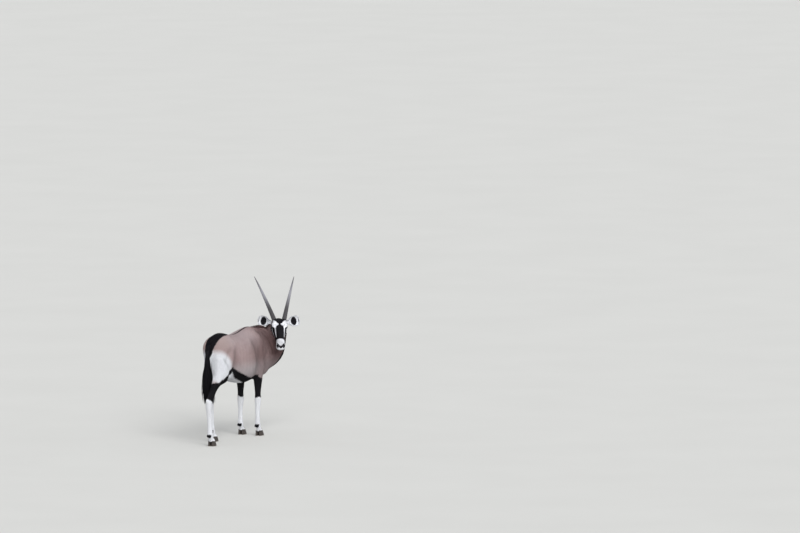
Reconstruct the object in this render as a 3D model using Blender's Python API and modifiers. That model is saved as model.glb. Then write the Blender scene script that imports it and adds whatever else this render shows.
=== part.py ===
"""Gemsbok, life size, standing and looking back over its right shoulder.

Metres, +Z up. The animal faces +X, its left side is +Y, and the floor is Z = 0.
The flesh is modelled whole, fused, and then parted with thin cuts into head, neck,
torso and legs. Horns, ears, eyes, hooves and tail are pieces of their own that meet it.
"""

import math
import random

import bpy
import bmesh
import numpy as np
from mathutils import Matrix, Vector

# Driving dimensions
FORE_X, HIND_X = 0.385, -0.50
STANCE_Y = 0.108
RIGHT_HIND_BACK, LEFT_HIND_BACK = 0.24, -0.15
HORN_LENGTH, HORN_LEAN, HORN_SPREAD, HORN_BEND = 0.90, 13.0, 11.2, 9.0
EAR_LENGTH = 0.158
EYE_X, EYE_Y, EYE_Z, EYE_RADIUS = 0.140, 0.064, -0.046, 0.0205
TAIL_ROOT = (-0.580, -0.046, 1.050)
TAIL_TIP_Z, TAIL_SWAY = 0.43, -0.022
HIP_SWAY = -0.050
HORN_BASE, EAR_BASE = (0.098, 0.044, -0.022), (0.036, 0.064, -0.088)

# Where the flesh is parted: the neck's plane, and the heights at which the legs begin
NECK_CUT_TOP, NECK_CUT_LOW = 0.430, 0.640
FORE_CROTCH, FORE_OUTER = 0.615, 0.800
HIND_CROTCH, HIND_OUTER = 0.700, 0.880

# How the head is carried
HEAD_AT = (0.807, -0.138, 1.288)
HEAD_YAW, HEAD_PITCH, HEAD_TILT = math.radians(-146), math.radians(42.5), math.radians(-0.5)

# Fineness
GAP = 0.0003
VOXEL = 0.006
RING = 28
BODY_FACES, HEAD_FACES = 4200, 1900
HOOF_TOP = 0.058
TAIL_LOCKS, MANE_LOCKS = 32, 22
SHARP = math.radians(40)


def clear_scene():
    for item in list(bpy.data.objects):
        bpy.data.objects.remove(item)


def collection(name):
    made = bpy.data.collections.new(name)
    bpy.context.scene.collection.children.link(made)
    return made


clear_scene()
ANIMAL = collection("gemsbok")
TOOLS = collection("cutters")


# Materials

def coat(name, colour, roughness):
    made = bpy.data.materials.new(name)
    made.use_nodes = True
    shader = made.node_tree.nodes["Principled BSDF"]
    shader.inputs["Base Color"].default_value = (*colour, 1.0)
    shader.inputs["Roughness"].default_value = roughness
    shader.inputs["Metallic"].default_value = 0.0
    return made


FAWN = coat("fawn_coat", (0.36, 0.27, 0.25), 0.85)
DARK = coat("black_coat", (0.012, 0.011, 0.014), 0.8)
HORN = coat("horn", (0.10, 0.095, 0.09), 0.5)
HOOF = coat("hoof", (0.035, 0.030, 0.028), 0.45)
EYE = coat("eye", (0.012, 0.007, 0.005), 0.08)
EAR_COAT = coat("ear", (0.55, 0.52, 0.52), 0.85)


# Meshes

def housed(made, home):
    """Puts an object into the animal, or unseen among the cutters and helper forms."""
    home.objects.link(made)
    made.hide_render = home == TOOLS
    made.display_type = "WIRE" if home == TOOLS else "TEXTURED"
    return made


def mesh_object(name, points, faces):
    mesh = bpy.data.meshes.new(name)
    mesh.from_pydata([tuple(p) for p in points], [], faces)
    mesh.update()
    return housed(bpy.data.objects.new(name, mesh), TOOLS)


def smooth_values(stations, steps):
    """Catmull-Rom values between the rows of a table of stations."""
    rows = np.array(stations, float)
    rows = np.vstack([2 * rows[0] - rows[1], rows, 2 * rows[-1] - rows[-2]])
    out = []
    for i in range(1, len(rows) - 2):
        a, b, c, d = rows[i - 1 : i + 3]
        for k in range(steps):
            t = k / steps
            out.append(
                0.5 * (2 * b + (c - a) * t + (2 * a - 5 * b + 4 * c - d) * t * t
                       + (3 * b - a - 3 * c + d) * t ** 3)
            )
    out.append(rows[-2])
    return np.array(out)


def oval(centre, side, up, half_width, rise, drop, power=2.0, count=RING):
    """A ring round centre, rise above it and drop below it, squarer as power grows."""
    points = []
    for i in range(count):
        angle = 2 * math.pi * i / count
        c, s = math.cos(angle), math.sin(angle)
        across = math.copysign(abs(c) ** (2 / power), c) * half_width
        along = math.copysign(abs(s) ** (2 / power), s) * (rise if s > 0 else drop)
        points.append(Vector(centre) + Vector(side) * across + Vector(up) * along)
    return points


def loft(name, rings):
    """A closed skin through rings of like count, with a pole in the middle of each end."""
    count = len(rings[0])
    points = [p for ring in rings for p in ring]
    faces = []
    for r in range(len(rings) - 1):
        for i in range(count):
            j = (i + 1) % count
            a, b = r * count, (r + 1) * count
            faces.append((a + i, a + j, b + j, b + i))
    for ring, turn in ((0, True), (len(rings) - 1, False)):
        pole = len(points)
        points.append(sum(rings[ring], Vector()) / count)
        for i in range(count):
            j = (i + 1) % count
            a, b = ring * count + i, ring * count + j
            faces.append((b, a, pole) if turn else (a, b, pole))
    made = mesh_object(name, points, faces)
    facing_out(made)
    return made


def facing_out(item):
    work = bmesh.new()
    work.from_mesh(item.data)
    bmesh.ops.recalc_face_normals(work, faces=work.faces)
    work.to_mesh(item.data)
    work.free()


def ball(name, centre, radii, turn=None, segments=20, rings=12):
    """An ellipsoid with the given half axes, turned about its own centre."""
    work = bmesh.new()
    bmesh.ops.create_uvsphere(work, u_segments=segments, v_segments=rings, radius=1.0)
    size = Matrix.Diagonal((*radii, 1.0))
    turned = (turn or Matrix.Identity(3)).to_4x4()
    bmesh.ops.transform(work, matrix=Matrix.Translation(centre) @ turned @ size, verts=work.verts)
    mesh = bpy.data.meshes.new(name)
    work.to_mesh(mesh)
    work.free()
    return housed(bpy.data.objects.new(name, mesh), TOOLS)


def limb(name, stations, steps=4):
    """A tube along stations of (x, y, z, fore-and-aft radius, sideways radius)."""
    rows = smooth_values(stations, steps)
    rings = []
    for i, row in enumerate(rows):
        ahead = Vector(rows[min(i + 1, len(rows) - 1)][:3]) - Vector(rows[max(i - 1, 0)][:3])
        ahead.normalize()
        front = (Vector((1, 0, 0)) - ahead * ahead.x).normalized()
        side = ahead.cross(front)
        rings.append(oval(row[:3], side, front, row[4], row[3], row[3], 2.1, 18))
    return loft(name, rings)


def apply_modifiers(item):
    """Replaces the object's mesh by the mesh that its modifiers make."""
    bpy.context.view_layer.update()
    graph = bpy.context.evaluated_depsgraph_get()
    mesh = bpy.data.meshes.new_from_object(item.evaluated_get(graph))
    item.modifiers.clear()
    item.data = mesh


def joined(name, items, material):
    """One mesh object holding the meshes of all the items, which are removed."""
    work = bmesh.new()
    for item in items:
        work.from_mesh(item.data)
        bpy.data.objects.remove(item)
    mesh = bpy.data.meshes.new(name)
    work.to_mesh(mesh)
    work.free()
    mesh.materials.append(material)
    return housed(bpy.data.objects.new(name, mesh), ANIMAL)


def boolean(item, other, operation):
    """Cuts or joins another object into item and removes it."""
    step = item.modifiers.new(operation, "BOOLEAN")
    step.operation = operation
    step.solver = "MANIFOLD"
    step.object = other
    apply_modifiers(item)
    bpy.data.objects.remove(other)


def union(item, others):
    """Joins closed meshes to item with one Boolean on their collection."""
    group = collection(item.name + "_forms")
    for other in others:
        for home in list(other.users_collection):
            home.objects.unlink(other)
        group.objects.link(other)
    step = item.modifiers.new("join", "BOOLEAN")
    step.operation = "UNION"
    step.solver = "MANIFOLD"
    step.operand_type = "COLLECTION"
    step.collection = group
    apply_modifiers(item)
    for other in list(group.objects):
        bpy.data.objects.remove(other)
    bpy.data.collections.remove(group)


def copy_of(item, name):
    made = bpy.data.objects.new(name, item.data.copy())
    return housed(made, TOOLS)


def grown(item, by=GAP * 1.4):
    """A copy of item, larger all round by the gap that neighbours keep."""
    made = copy_of(item, item.name + "_grown")
    work = bmesh.new()
    work.from_mesh(made.data)
    work.normal_update()
    moves = [v.normal * by for v in work.verts]
    for v, move in zip(work.verts, moves):
        v.co += move
    work.to_mesh(made.data)
    work.free()
    return made


def islands(item):
    """The separate closed surfaces of a mesh, as lists of face indices."""
    work = bmesh.new()
    work.from_mesh(item.data)
    work.faces.ensure_lookup_table()
    seen, found = set(), []
    for face in work.faces:
        if face.index in seen:
            continue
        stack, group = [face], []
        seen.add(face.index)
        while stack:
            here = stack.pop()
            group.append(here.index)
            for edge in here.edges:
                for near in edge.link_faces:
                    if near.index not in seen:
                        seen.add(near.index)
                        stack.append(near)
        found.append(group)
    work.free()
    return found


def keep_largest(item):
    """Drops every closed surface but the largest one."""
    groups = islands(item)
    if len(groups) < 2:
        return
    keep = set(max(groups, key=len))
    work = bmesh.new()
    work.from_mesh(item.data)
    work.faces.ensure_lookup_table()
    bmesh.ops.delete(work, geom=[f for f in work.faces if f.index not in keep], context="FACES")
    work.to_mesh(item.data)
    work.free()


# The head's own frame: X towards the nose, Y to its left, Z off its brow

def head_frame():
    forward = Vector((math.cos(HEAD_PITCH) * math.cos(HEAD_YAW),
                      math.cos(HEAD_PITCH) * math.sin(HEAD_YAW),
                      -math.sin(HEAD_PITCH)))
    left = Vector((-math.sin(HEAD_YAW), math.cos(HEAD_YAW), 0.0))
    brow = forward.cross(left)
    basis = Matrix((forward, left, brow)).transposed().to_4x4()
    level = Vector((math.cos(HEAD_YAW), math.sin(HEAD_YAW), 0.0))
    return Matrix.Translation(HEAD_AT) @ Matrix.Rotation(HEAD_TILT, 4, level) @ basis


HEAD = head_frame()


def on_head(*point):
    return HEAD @ Vector(point)


def head_turn():
    return HEAD.to_3x3()


# Flesh

TRUNK = (  # x, top, bottom, half width, height of the widest place, squareness
    (-0.605, 1.015, 0.900, 0.028, 0.95, 2.0),
    (-0.580, 1.072, 0.820, 0.058, 0.95, 2.0),
    (-0.530, 1.128, 0.750, 0.086, 0.93, 2.0),
    (-0.450, 1.172, 0.710, 0.122, 0.92, 2.0),
    (-0.370, 1.190, 0.690, 0.148, 0.92, 2.0),
    (-0.270, 1.184, 0.690, 0.172, 0.93, 2.0),
    (-0.150, 1.160, 0.660, 0.198, 0.89, 2.0),
    (-0.030, 1.141, 0.625, 0.222, 0.85, 2.1),
    (0.090, 1.145, 0.600, 0.228, 0.84, 2.1),
    (0.200, 1.172, 0.592, 0.208, 0.85, 2.0),
    (0.320, 1.198, 0.600, 0.175, 0.87, 1.9),
    (0.420, 1.190, 0.612, 0.156, 0.88, 1.9),
    (0.520, 1.160, 0.640, 0.138, 0.88, 2.0),
    (0.600, 1.100, 0.680, 0.112, 0.86, 2.0),
    (0.655, 1.000, 0.740, 0.070, 0.86, 2.0),
)

NECK = (  # x, y, z, half width, half depth
    (0.330, 0.000, 0.955, 0.130, 0.232),
    (0.460, 0.004, 0.942, 0.126, 0.240),
    (0.590, -0.010, 0.925, 0.124, 0.245),
    (0.695, -0.038, 0.928, 0.124, 0.236),
    (0.785, -0.064, 0.960, 0.113, 0.206),
    (0.830, -0.073, 1.026, 0.098, 0.162),
    (0.846, -0.080, 1.100, 0.078, 0.130),
    (0.846, -0.094, 1.165, 0.068, 0.104),
    (0.838, -0.108, 1.215, 0.060, 0.084),
)

SKULL = (  # distance from the poll, top, bottom, half width, squareness
    (-0.010, -0.110, -0.150, 0.030, 2.0),
    (0.008, -0.075, -0.172, 0.056, 2.0),
    (0.045, -0.034, -0.192, 0.071, 2.0),
    (0.090, -0.004, -0.200, 0.079, 2.2),
    (0.140, 0.000, -0.195, 0.080, 2.3),
    (0.190, -0.006, -0.178, 0.069, 2.3),
    (0.240, -0.014, -0.156, 0.057, 2.3),
    (0.290, -0.022, -0.138, 0.049, 2.4),
    (0.335, -0.028, -0.127, 0.047, 2.5),
    (0.370, -0.033, -0.122, 0.049, 2.5),
    (0.400, -0.040, -0.118, 0.050, 2.4),
    (0.422, -0.052, -0.110, 0.042, 2.3),
    (0.436, -0.068, -0.098, 0.026, 2.0),
)


def sway(x):
    """The hips are swung a little towards the right, the loins bend into them."""
    t = min(1.0, max(0.0, -x / 0.5))
    return HIP_SWAY * t * t * (3 - 2 * t)


def trunk():
    rings = []
    for x, top, bottom, half_width, widest, power in smooth_values(TRUNK, 4):
        rise, drop = top - widest, widest - bottom
        rings.append(oval((x, sway(x), widest), (0, 1, 0), (0, 0, 1), half_width, rise, drop, power, 36))
    return loft("trunk", rings)


def neck():
    rows = smooth_values(NECK, 5)
    rings = []
    for i, row in enumerate(rows):
        ahead = Vector(rows[min(i + 1, len(rows) - 1)][:3]) - Vector(rows[max(i - 1, 0)][:3])
        ahead.normalize()
        up = (Vector((0, 0, 1)) - ahead * ahead.z).normalized()
        side = up.cross(ahead)
        rings.append(oval(row[:3], side, up, row[3], row[4], row[4], 1.8, 32))
    return loft("neck", rings)


def skull():
    rings = []
    for x, top, bottom, half_width, power in smooth_values(SKULL, 4):
        middle, tall = (top + bottom) / 2, (top - bottom) / 2
        ring = oval((x, 0.0, middle), (0, 1, 0), (0, 0, 1), half_width, tall, tall, power, 32)
        rings.append([HEAD @ p for p in ring])
    return loft("skull", rings)


def head_masses():
    """Cheeks, brows, jaw and muzzle, laid on the skull."""
    turn = head_turn()
    masses = []
    for side in (-1, 1):
        masses += [
            ball("cheek", on_head(0.085, side * 0.050, -0.120), (0.062, 0.030, 0.070), turn),
            ball("brow", on_head(0.126, side * 0.064, -0.030), (0.036, 0.024, 0.024), turn),
            ball("cheekbone", on_head(0.170, side * 0.060, -0.068), (0.050, 0.017, 0.018), turn),
            ball("nostril_wing", on_head(0.398, side * 0.031, -0.062), (0.030, 0.020, 0.023), turn),
            ball("lip", on_head(0.385, side * 0.028, -0.096), (0.038, 0.023, 0.020), turn),
            ball("horn_seat", on_head(0.086, side * 0.044, -0.020), (0.038, 0.031, 0.028), turn),
            ball("ear_seat", on_head(0.042, side * 0.060, -0.090), (0.030, 0.022, 0.030), turn),
        ]
    masses.append(ball("chin", on_head(0.378, 0.0, -0.114), (0.034, 0.029, 0.020), turn))
    masses.append(ball("nape", on_head(0.030, 0.0, -0.112), (0.052, 0.062, 0.068), turn))
    return masses


def tilt(degrees, axis="Y"):
    return Matrix.Rotation(math.radians(degrees), 3, axis)


def trunk_masses():
    """The muscles and bones that show through the hide of the trunk."""
    masses = []
    hips = HIP_SWAY
    for side in (-1, 1):
        back = RIGHT_HIND_BACK if side < 0 else LEFT_HIND_BACK
        masses += [
            ball("shoulder_blade", (0.375, side * 0.080, 0.930), (0.095, 0.070, 0.215), tilt(14)),
            ball("upper_arm", (0.430, side * 0.096, 0.775), (0.105, 0.060, 0.110), tilt(-20)),
            ball("triceps", (0.310, side * 0.108, 0.790), (0.095, 0.060, 0.115), tilt(25)),
            ball("hip", (-0.235, side * 0.112 + hips / 2, 1.050), (0.070, 0.042, 0.055)),
            ball("seat_bone", (-0.550, side * 0.042 + hips, 1.000), (0.045, 0.032, 0.070)),
            ball("rump", (-0.390 + 0.1 * back, side * 0.055 + hips, 1.020), (0.180, 0.075, 0.140)),
            ball("thigh", (-0.390 - 0.40 * back, side * 0.092 + hips, 0.850),
                 (0.155, 0.072, 0.225), tilt(40 * back)),
            ball("stifle", (-0.325 - 0.50 * back, side * 0.112 + hips, 0.750), (0.074, 0.052, 0.100)),
            ball("flank_fold", (-0.215 - 0.30 * back, side * 0.108 + hips / 2, 0.760),
                 (0.085, 0.038, 0.085)),
        ]
    masses.append(ball("brisket", (0.640, 0.0, 0.738), (0.115, 0.092, 0.108), tilt(-30)))
    return masses


def foreleg(side):
    x, y = FORE_X, side * STANCE_Y
    return limb("foreleg", (
        (x - 0.010, y * 1.02, 0.800, 0.095, 0.060),
        (x - 0.004, y * 1.02, 0.720, 0.088, 0.056),
        (x + 0.004, y, 0.640, 0.067, 0.049),
        (x + 0.004, y, 0.550, 0.047, 0.039),
        (x + 0.002, y, 0.460, 0.034, 0.032),
        (x + 0.004, y, 0.405, 0.037, 0.036),
        (x + 0.002, y, 0.350, 0.030, 0.032),
        (x - 0.002, y, 0.290, 0.025, 0.026),
        (x - 0.003, y, 0.200, 0.023, 0.025),
        (x - 0.002, y, 0.145, 0.029, 0.029),
        (x + 0.002, y, 0.118, 0.031, 0.031),
        (x + 0.016, y, 0.085, 0.026, 0.029),
        (x + 0.030, y, 0.055, 0.033, 0.034),
        (x + 0.034, y, 0.030, 0.030, 0.030),
    ))


def hind_place(side):
    """How far a hind leg is set back, and the x and y of its hock."""
    back = RIGHT_HIND_BACK if side < 0 else LEFT_HIND_BACK
    return back, HIND_X - back, side * STANCE_Y * 0.92 + HIP_SWAY


def hindleg(side):
    back, x, y = hind_place(side)
    out = side * 0.006
    return limb("hindleg", (
        (x + 0.115 + 0.54 * back, y + out, 0.800, 0.110, 0.060),
        (x + 0.090 + 0.40 * back, y + out, 0.720, 0.082, 0.055),
        (x + 0.050 + 0.20 * back, y + out, 0.640, 0.058, 0.045),
        (x + 0.024 + 0.10 * back, y, 0.560, 0.047, 0.037),
        (x - 0.006, y, 0.490, 0.042, 0.032),
        (x - 0.018, y, 0.445, 0.043, 0.034),
        (x - 0.016, y, 0.395, 0.034, 0.031),
        (x - 0.006, y, 0.330, 0.027, 0.027),
        (x + 0.004, y, 0.220, 0.025, 0.025),
        (x + 0.008, y, 0.150, 0.030, 0.029),
        (x + 0.012, y, 0.120, 0.032, 0.031),
        (x + 0.026, y, 0.085, 0.027, 0.030),
        (x + 0.040, y, 0.060, 0.034, 0.038),
        (x + 0.046, y, 0.040, 0.034, 0.036),
    ))


def hocks(side):
    """The heel bone above the hock and the two dew claws behind each fetlock."""
    back, x, y = hind_place(side)
    made = [limb("heel", (
        (x - 0.030, y, 0.430, 0.018, 0.018),
        (x - 0.050, y, 0.480, 0.020, 0.016),
        (x - 0.050, y, 0.515, 0.017, 0.014),
        (x - 0.030 + 0.20 * back, y, 0.590, 0.014, 0.011),
        (x + 0.030 + 0.30 * back, y, 0.660, 0.012, 0.010),
    ))]
    for heel_x, heel_y, z in ((x - 0.018, y, 0.112), (FORE_X - 0.028, side * STANCE_Y, 0.110)):
        for claw in (-1, 1):
            made.append(ball("dew_claw", (heel_x, heel_y + claw * 0.017, z), (0.014, 0.009, 0.015)))
    return made


def fused(name, pieces, voxel, soft, passes, faces):
    """One closed skin round all the pieces, smoothed where soft() says and thinned out."""
    made = joined(name, pieces, FAWN)
    step = made.modifiers.new("fuse", "REMESH")
    step.mode = "VOXEL"
    step.voxel_size = voxel
    step.adaptivity = 0.0
    apply_modifiers(made)
    group = made.vertex_groups.new(name="soft")
    for v in made.data.vertices:
        group.add([v.index], soft(v.co), "REPLACE")
    step = made.modifiers.new("soften", "SMOOTH")
    step.factor = 0.8
    step.iterations = passes
    step.vertex_group = "soft"
    step = made.modifiers.new("even", "SMOOTH")
    step.factor = 0.5
    step.iterations = 3
    apply_modifiers(made)
    step = made.modifiers.new("thin", "DECIMATE")
    step.ratio = faces / (2.0 * len(made.data.polygons))
    apply_modifiers(made)
    return made


def body_softness(point):
    """How far the hide is smoothed: much on the trunk, little down the legs."""
    low = 0.48 if point.x < 0 else 0.60
    rise = min(1.0, max(0.0, (point.z - low) / 0.10))
    return 0.06 + 0.94 * rise


def body():
    pieces = [trunk(), neck()] + trunk_masses()
    for side in (-1, 1):
        pieces += [foreleg(side), hindleg(side)] + hocks(side)
    return fused("body", pieces, VOXEL, body_softness, 110, BODY_FACES)


def head_softness(point):
    """The skull is smoothed more behind the horns than towards the lips."""
    ahead = (HEAD.inverted() @ point).x
    return 1.0 if ahead < 0.05 else max(0.22, 1.0 - (ahead - 0.05) * 4.0)


def head():
    """The skull in its hide, with lids, nostrils and the line of the mouth."""
    made = fused("head", [skull()] + head_masses(), 0.004, head_softness, 22, HEAD_FACES)
    turn = head_turn()
    for side in (-1, 1):
        socket = ball("socket", on_head(*eye_at(side)), [EYE_RADIUS + GAP] * 3, turn, 16, 10)
        boolean(made, socket, "DIFFERENCE")
        slit = on_head(EYE_X + 0.002, side * 0.093, EYE_Z)
        boolean(made, ball("lid_slit", slit, (0.0185, 0.026, 0.0105), turn, 16, 8), "DIFFERENCE")
        boolean(made, nostril(side), "DIFFERENCE")
    boolean(made, mouth_line(), "DIFFERENCE")
    keep_largest(made)
    return made


def eye_at(side):
    return EYE_X, side * EYE_Y, EYE_Z


def eyeball(side):
    made = ball("eye_" + side_name(side), on_head(*eye_at(side)), [EYE_RADIUS] * 3, head_turn(), 16, 10)
    return as_piece(made, EYE)


def nostril(side):
    turn = head_turn() @ tilt(38) @ tilt(side * -28, "Z")
    return ball("nostril", on_head(0.417, side * 0.031, -0.054), (0.017, 0.006, 0.0065), turn, 14, 8)


def mouth_line():
    path = [(0.335, 0.050), (0.372, 0.051), (0.400, 0.048), (0.421, 0.037), (0.433, 0.018)]
    right, left = [(x, -y, 0.0) for x, y in path], [(x, y, 0.0) for x, y in reversed(path)]
    stations = right + [(0.4365, 0.0, 0.0)] + left
    rings = []
    for i, here in enumerate(stations):
        ahead = Vector(stations[min(i + 1, len(stations) - 1)]) - Vector(stations[max(i - 1, 0)])
        side = Vector((0, 0, 1)).cross(ahead.normalized())
        back = 0.012 * (1 - here[0] / 0.4365)
        at = Vector((here[0], here[1], -0.088 - back))
        rings.append([HEAD @ p for p in oval(at, side, (0, 0, 1), 0.004, 0.0018, 0.0018, 2.0, 8)])
    return loft("mouth_line", rings)


def side_name(side):
    return "right" if side < 0 else "left"


def as_piece(item, material):
    """Moves a finished form into the animal, with its material."""
    TOOLS.objects.unlink(item)
    item.data.materials.clear()
    item.data.materials.append(material)
    return housed(item, ANIMAL)


def horn(side):
    """A long straight horn, ringed on its lower half, leaning back and slightly apart."""
    steps = 50
    rings = []
    lean, spread = math.radians(HORN_LEAN), math.radians(HORN_SPREAD)
    base_x, base_y, base_z = HORN_BASE
    point = Vector((base_x, side * base_y, base_z))
    for i in range(steps + 1):
        t = i / steps
        bend = lean + math.radians(HORN_BEND) * (t - 0.5)
        ahead = Vector((-math.cos(bend) * math.cos(spread), side * math.sin(spread), -math.sin(bend)))
        ahead.normalize()
        radius = 0.0245 * (1 - t) ** 0.75 + 0.0022 if t < 1 else 0.0016
        if 0.05 < t < 0.62:
            radius += 0.0011 * (1 if i % 2 else -1) * (1 - t / 0.8)
        across = Vector((0, 1, 0)) - ahead * ahead.y
        across.normalize()
        up = ahead.cross(across)
        rings.append([HEAD @ p for p in oval(point, across, up, radius, radius, radius, 2.0, 9)])
        point = point + ahead * (HORN_LENGTH / steps)
    return as_piece(loft("horn_" + side_name(side), rings), HORN)


EAR = (  # share of the length, half width, cup depth, thickness
    (0.00, 0.017, 0.004, 0.016),
    (0.14, 0.018, 0.008, 0.013),
    (0.27, 0.027, 0.016, 0.009),
    (0.42, 0.046, 0.027, 0.007),
    (0.62, 0.057, 0.029, 0.006),
    (0.80, 0.054, 0.023, 0.005),
    (0.93, 0.038, 0.013, 0.004),
    (1.00, 0.014, 0.003, 0.0035),
)


def ear(side):
    """A broad rounded cup on a short stalk, its hollow turned towards the front."""
    out = Vector((-0.16, side * 0.95, 0.05)).normalized()
    face = Vector((0.64, side * 0.25, 0.77))
    face = (face - out * face.dot(out)).normalized()
    across = out.cross(face)
    root = Vector((EAR_BASE[0], side * EAR_BASE[1], EAR_BASE[2]))
    rings = []
    for share, half_width, cup, thick in smooth_values(EAR, 2):
        centre = root + out * (share * EAR_LENGTH)
        outer, inner = [], []
        for i in range(7):
            a = -1 + i / 3
            hollow = cup * (a * a - 1)
            place = centre + across * (half_width * a)
            outer.append(place + face * (hollow - thick * (1 - 0.7 * a * a)))
            inner.append(place - across * (half_width * a * 0.015) + face * (hollow + thick * 0.3))
        rings.append([HEAD @ p for p in outer + inner[::-1]])
    return as_piece(loft("ear_" + side_name(side), rings), EAR_COAT)


def hoof(leg_name, side, x, y):
    """The two claws of one foot, flat underneath."""
    made = []
    for claw, which in ((-1, "right"), (1, "left")):
        rings = []
        for z, length, width, ahead in (
            (0.0, 0.052, 0.0195, 0.012),
            (0.018, 0.049, 0.0190, 0.010),
            (0.040, 0.041, 0.0180, 0.004),
            (HOOF_TOP - GAP, 0.034, 0.0165, -0.002),
        ):
            centre = Vector((x + ahead, y + claw * 0.0205, z))
            rings.append(hoof_ring(centre, length, width, claw))
        made.append(as_piece(loft(f"hoof_{leg_name}_{side_name(side)}_{which}", rings), HOOF))
    return made


def hoof_ring(centre, length, width, claw):
    """A claw from above: pointed in front, straight along the cleft."""
    points = []
    for i in range(14):
        angle = 2 * math.pi * i / 14
        along, across = math.cos(angle), math.sin(angle) * claw
        reach = width * (0.92 if across * claw < 0 else 1.0)
        narrow = 1.0 - 0.38 * max(0.0, along) ** 1.6
        inward = -0.004 * claw * max(0.0, along) ** 2
        points.append(centre + Vector((along * length, across * reach * narrow + inward, 0.0)))
    return points


def lock(root, ahead, fall, length, width, thickness, bend, flat):
    """A flat tapered lock that leaves along ahead and is drawn towards fall."""
    steps = 3
    rings = []
    point = Vector(root)
    heading = Vector(ahead).normalized()
    side = heading.cross(Vector(flat)).normalized()
    for i in range(steps + 1):
        t = i / steps
        taper = (1 - t ** 1.6) * 0.92 + 0.08
        depth = side.cross(heading).normalized()
        rings.append([
            point + side * width * taper,
            point + depth * thickness * taper,
            point - side * width * taper,
            point - depth * thickness * taper,
        ])
        heading = (heading + (Vector(fall) - heading) * bend).normalized()
        side = (side - heading * side.dot(heading)).normalized()
        point = point + heading * (length / steps)
    return loft("lock", rings)


def tail():
    """The dock with its hair: a core, and locks that bend over one another."""
    rng = random.Random(7)
    x, y, z = TAIL_ROOT
    core = limb("tail", (
        (x + 0.055, y, z + 0.000, 0.026, 0.026),
        (x + 0.010, y, z - 0.012, 0.030, 0.028),
        (x - 0.022, y, z - 0.055, 0.022, 0.022),
        (x - 0.032, y, z - 0.120, 0.018, 0.018),
        (x - 0.036, y + TAIL_SWAY * 0.2, z - 0.200, 0.019, 0.020),
        (x - 0.036, y + TAIL_SWAY * 0.6, z - 0.300, 0.026, 0.028),
        (x - 0.034, y + TAIL_SWAY, z - 0.400, 0.024, 0.027),
        (x - 0.032, y + TAIL_SWAY, z - 0.460, 0.010, 0.012),
    ), 2)
    locks = []
    for i in range(TAIL_LOCKS):
        share = i / (TAIL_LOCKS - 1)
        height = z - 0.070 - 0.330 * share
        angle = i * 2.399963
        out = Vector((math.cos(angle), math.sin(angle), 0.0))
        core_radius = 0.010 + 0.010 * share
        root = Vector((x - 0.034, y + TAIL_SWAY * share * share, height)) + out * core_radius
        reach = 0.18 + 0.10 * share + rng.uniform(-0.02, 0.02)
        reach = min(reach, height - TAIL_TIP_Z - 0.01 * rng.random())
        ahead = out * (0.24 + 0.22 * share) + Vector((0, 0, -1))
        fall = Vector((rng.uniform(-0.08, 0.08), rng.uniform(-0.08, 0.08), -1)) - out * 0.06
        locks.append(lock(root, ahead, fall, reach, rng.uniform(0.017, 0.023), 0.007, 0.45, out))
    made = as_piece(core, DARK)
    union(made, locks)
    keep_largest(made)
    return made


def crest_point(t):
    """A point of the crest, from the withers at 0 to the nape at 1, and the way along it."""
    rows = smooth_values(NECK, 5)
    place = 4 + t * (len(rows) - 16)
    i = int(place)
    k = place - i
    a, b = rows[i], rows[i + 1]
    row = a + (b - a) * k
    ahead = Vector(b[:3]) - Vector(a[:3])
    ahead.normalize()
    up = (Vector((0, 0, 1)) - ahead * ahead.z).normalized()
    return Vector(row[:3]) + up * row[4], ahead, up


def crest_locks(first, last):
    """Short locks of the mane, standing along the crest and leaning back."""
    rng = random.Random(3)
    locks = []
    for i in range(MANE_LOCKS):
        t = first + (last - first) * i / (MANE_LOCKS - 1)
        place, ahead, up = crest_point(t)
        side = ahead.cross(up)
        sway_side = rng.uniform(-0.35, 0.35)
        root = place - up * 0.022 + side * rng.uniform(-0.006, 0.006)
        start = up + side * sway_side - ahead * 0.25
        fall = up * 0.35 - ahead * 0.9 + side * sway_side
        length, width = rng.uniform(0.034, 0.042), rng.uniform(0.018, 0.023)
        locks.append(lock(root, start, fall, length, width, 0.006, 0.30, side))
    return locks


def block(name, corners):
    """A closed box on eight corners: four below, then the four above them."""
    faces = [(0, 3, 2, 1), (4, 5, 6, 7), (0, 1, 5, 4), (1, 2, 6, 5), (2, 3, 7, 6), (3, 0, 4, 7)]
    made = mesh_object(name, corners, faces)
    facing_out(made)
    return made


def leg_block(side, rear, front, inner, crotch, outer_top, wide, bare=0.0):
    """The space that holds one leg: below a plane that rises outward from the crotch."""
    near, low, high = inner - bare, crotch + bare, outer_top + bare
    x0, x1 = rear - bare, front + bare
    corners = [(x0, near, -0.1), (x1, near, -0.1), (x1, wide, -0.1), (x0, wide, -0.1),
               (x0, near, low), (x1, near, low), (x1, wide, high), (x0, wide, high)]
    return block("leg_block", [(x, y * side, z) for x, y, z in corners])


def part_leg(trunk_piece, name, space):
    """Splits a leg off the trunk: the flesh inside the space becomes its own piece."""
    leg = copy_of(trunk_piece, name)
    boolean(leg, leg_block(*space), "INTERSECT")
    boolean(trunk_piece, leg_block(*space, GAP), "DIFFERENCE")
    keep_largest(leg)
    keep_largest(trunk_piece)
    return as_piece(leg, FAWN)


def neck_block(bare):
    """The space in front of the plane from the withers down to the brisket."""
    slope = (NECK_CUT_LOW - NECK_CUT_TOP) / 5
    corners = []
    for x, z in ((NECK_CUT_LOW + slope - bare, 0.60), (NECK_CUT_TOP - slope - bare, 1.30)):
        corners += [(x, -0.4, z), (1.3, -0.4, z), (1.3, 0.4, z), (x, 0.4, z)]
    return block("neck_block", corners)


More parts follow.
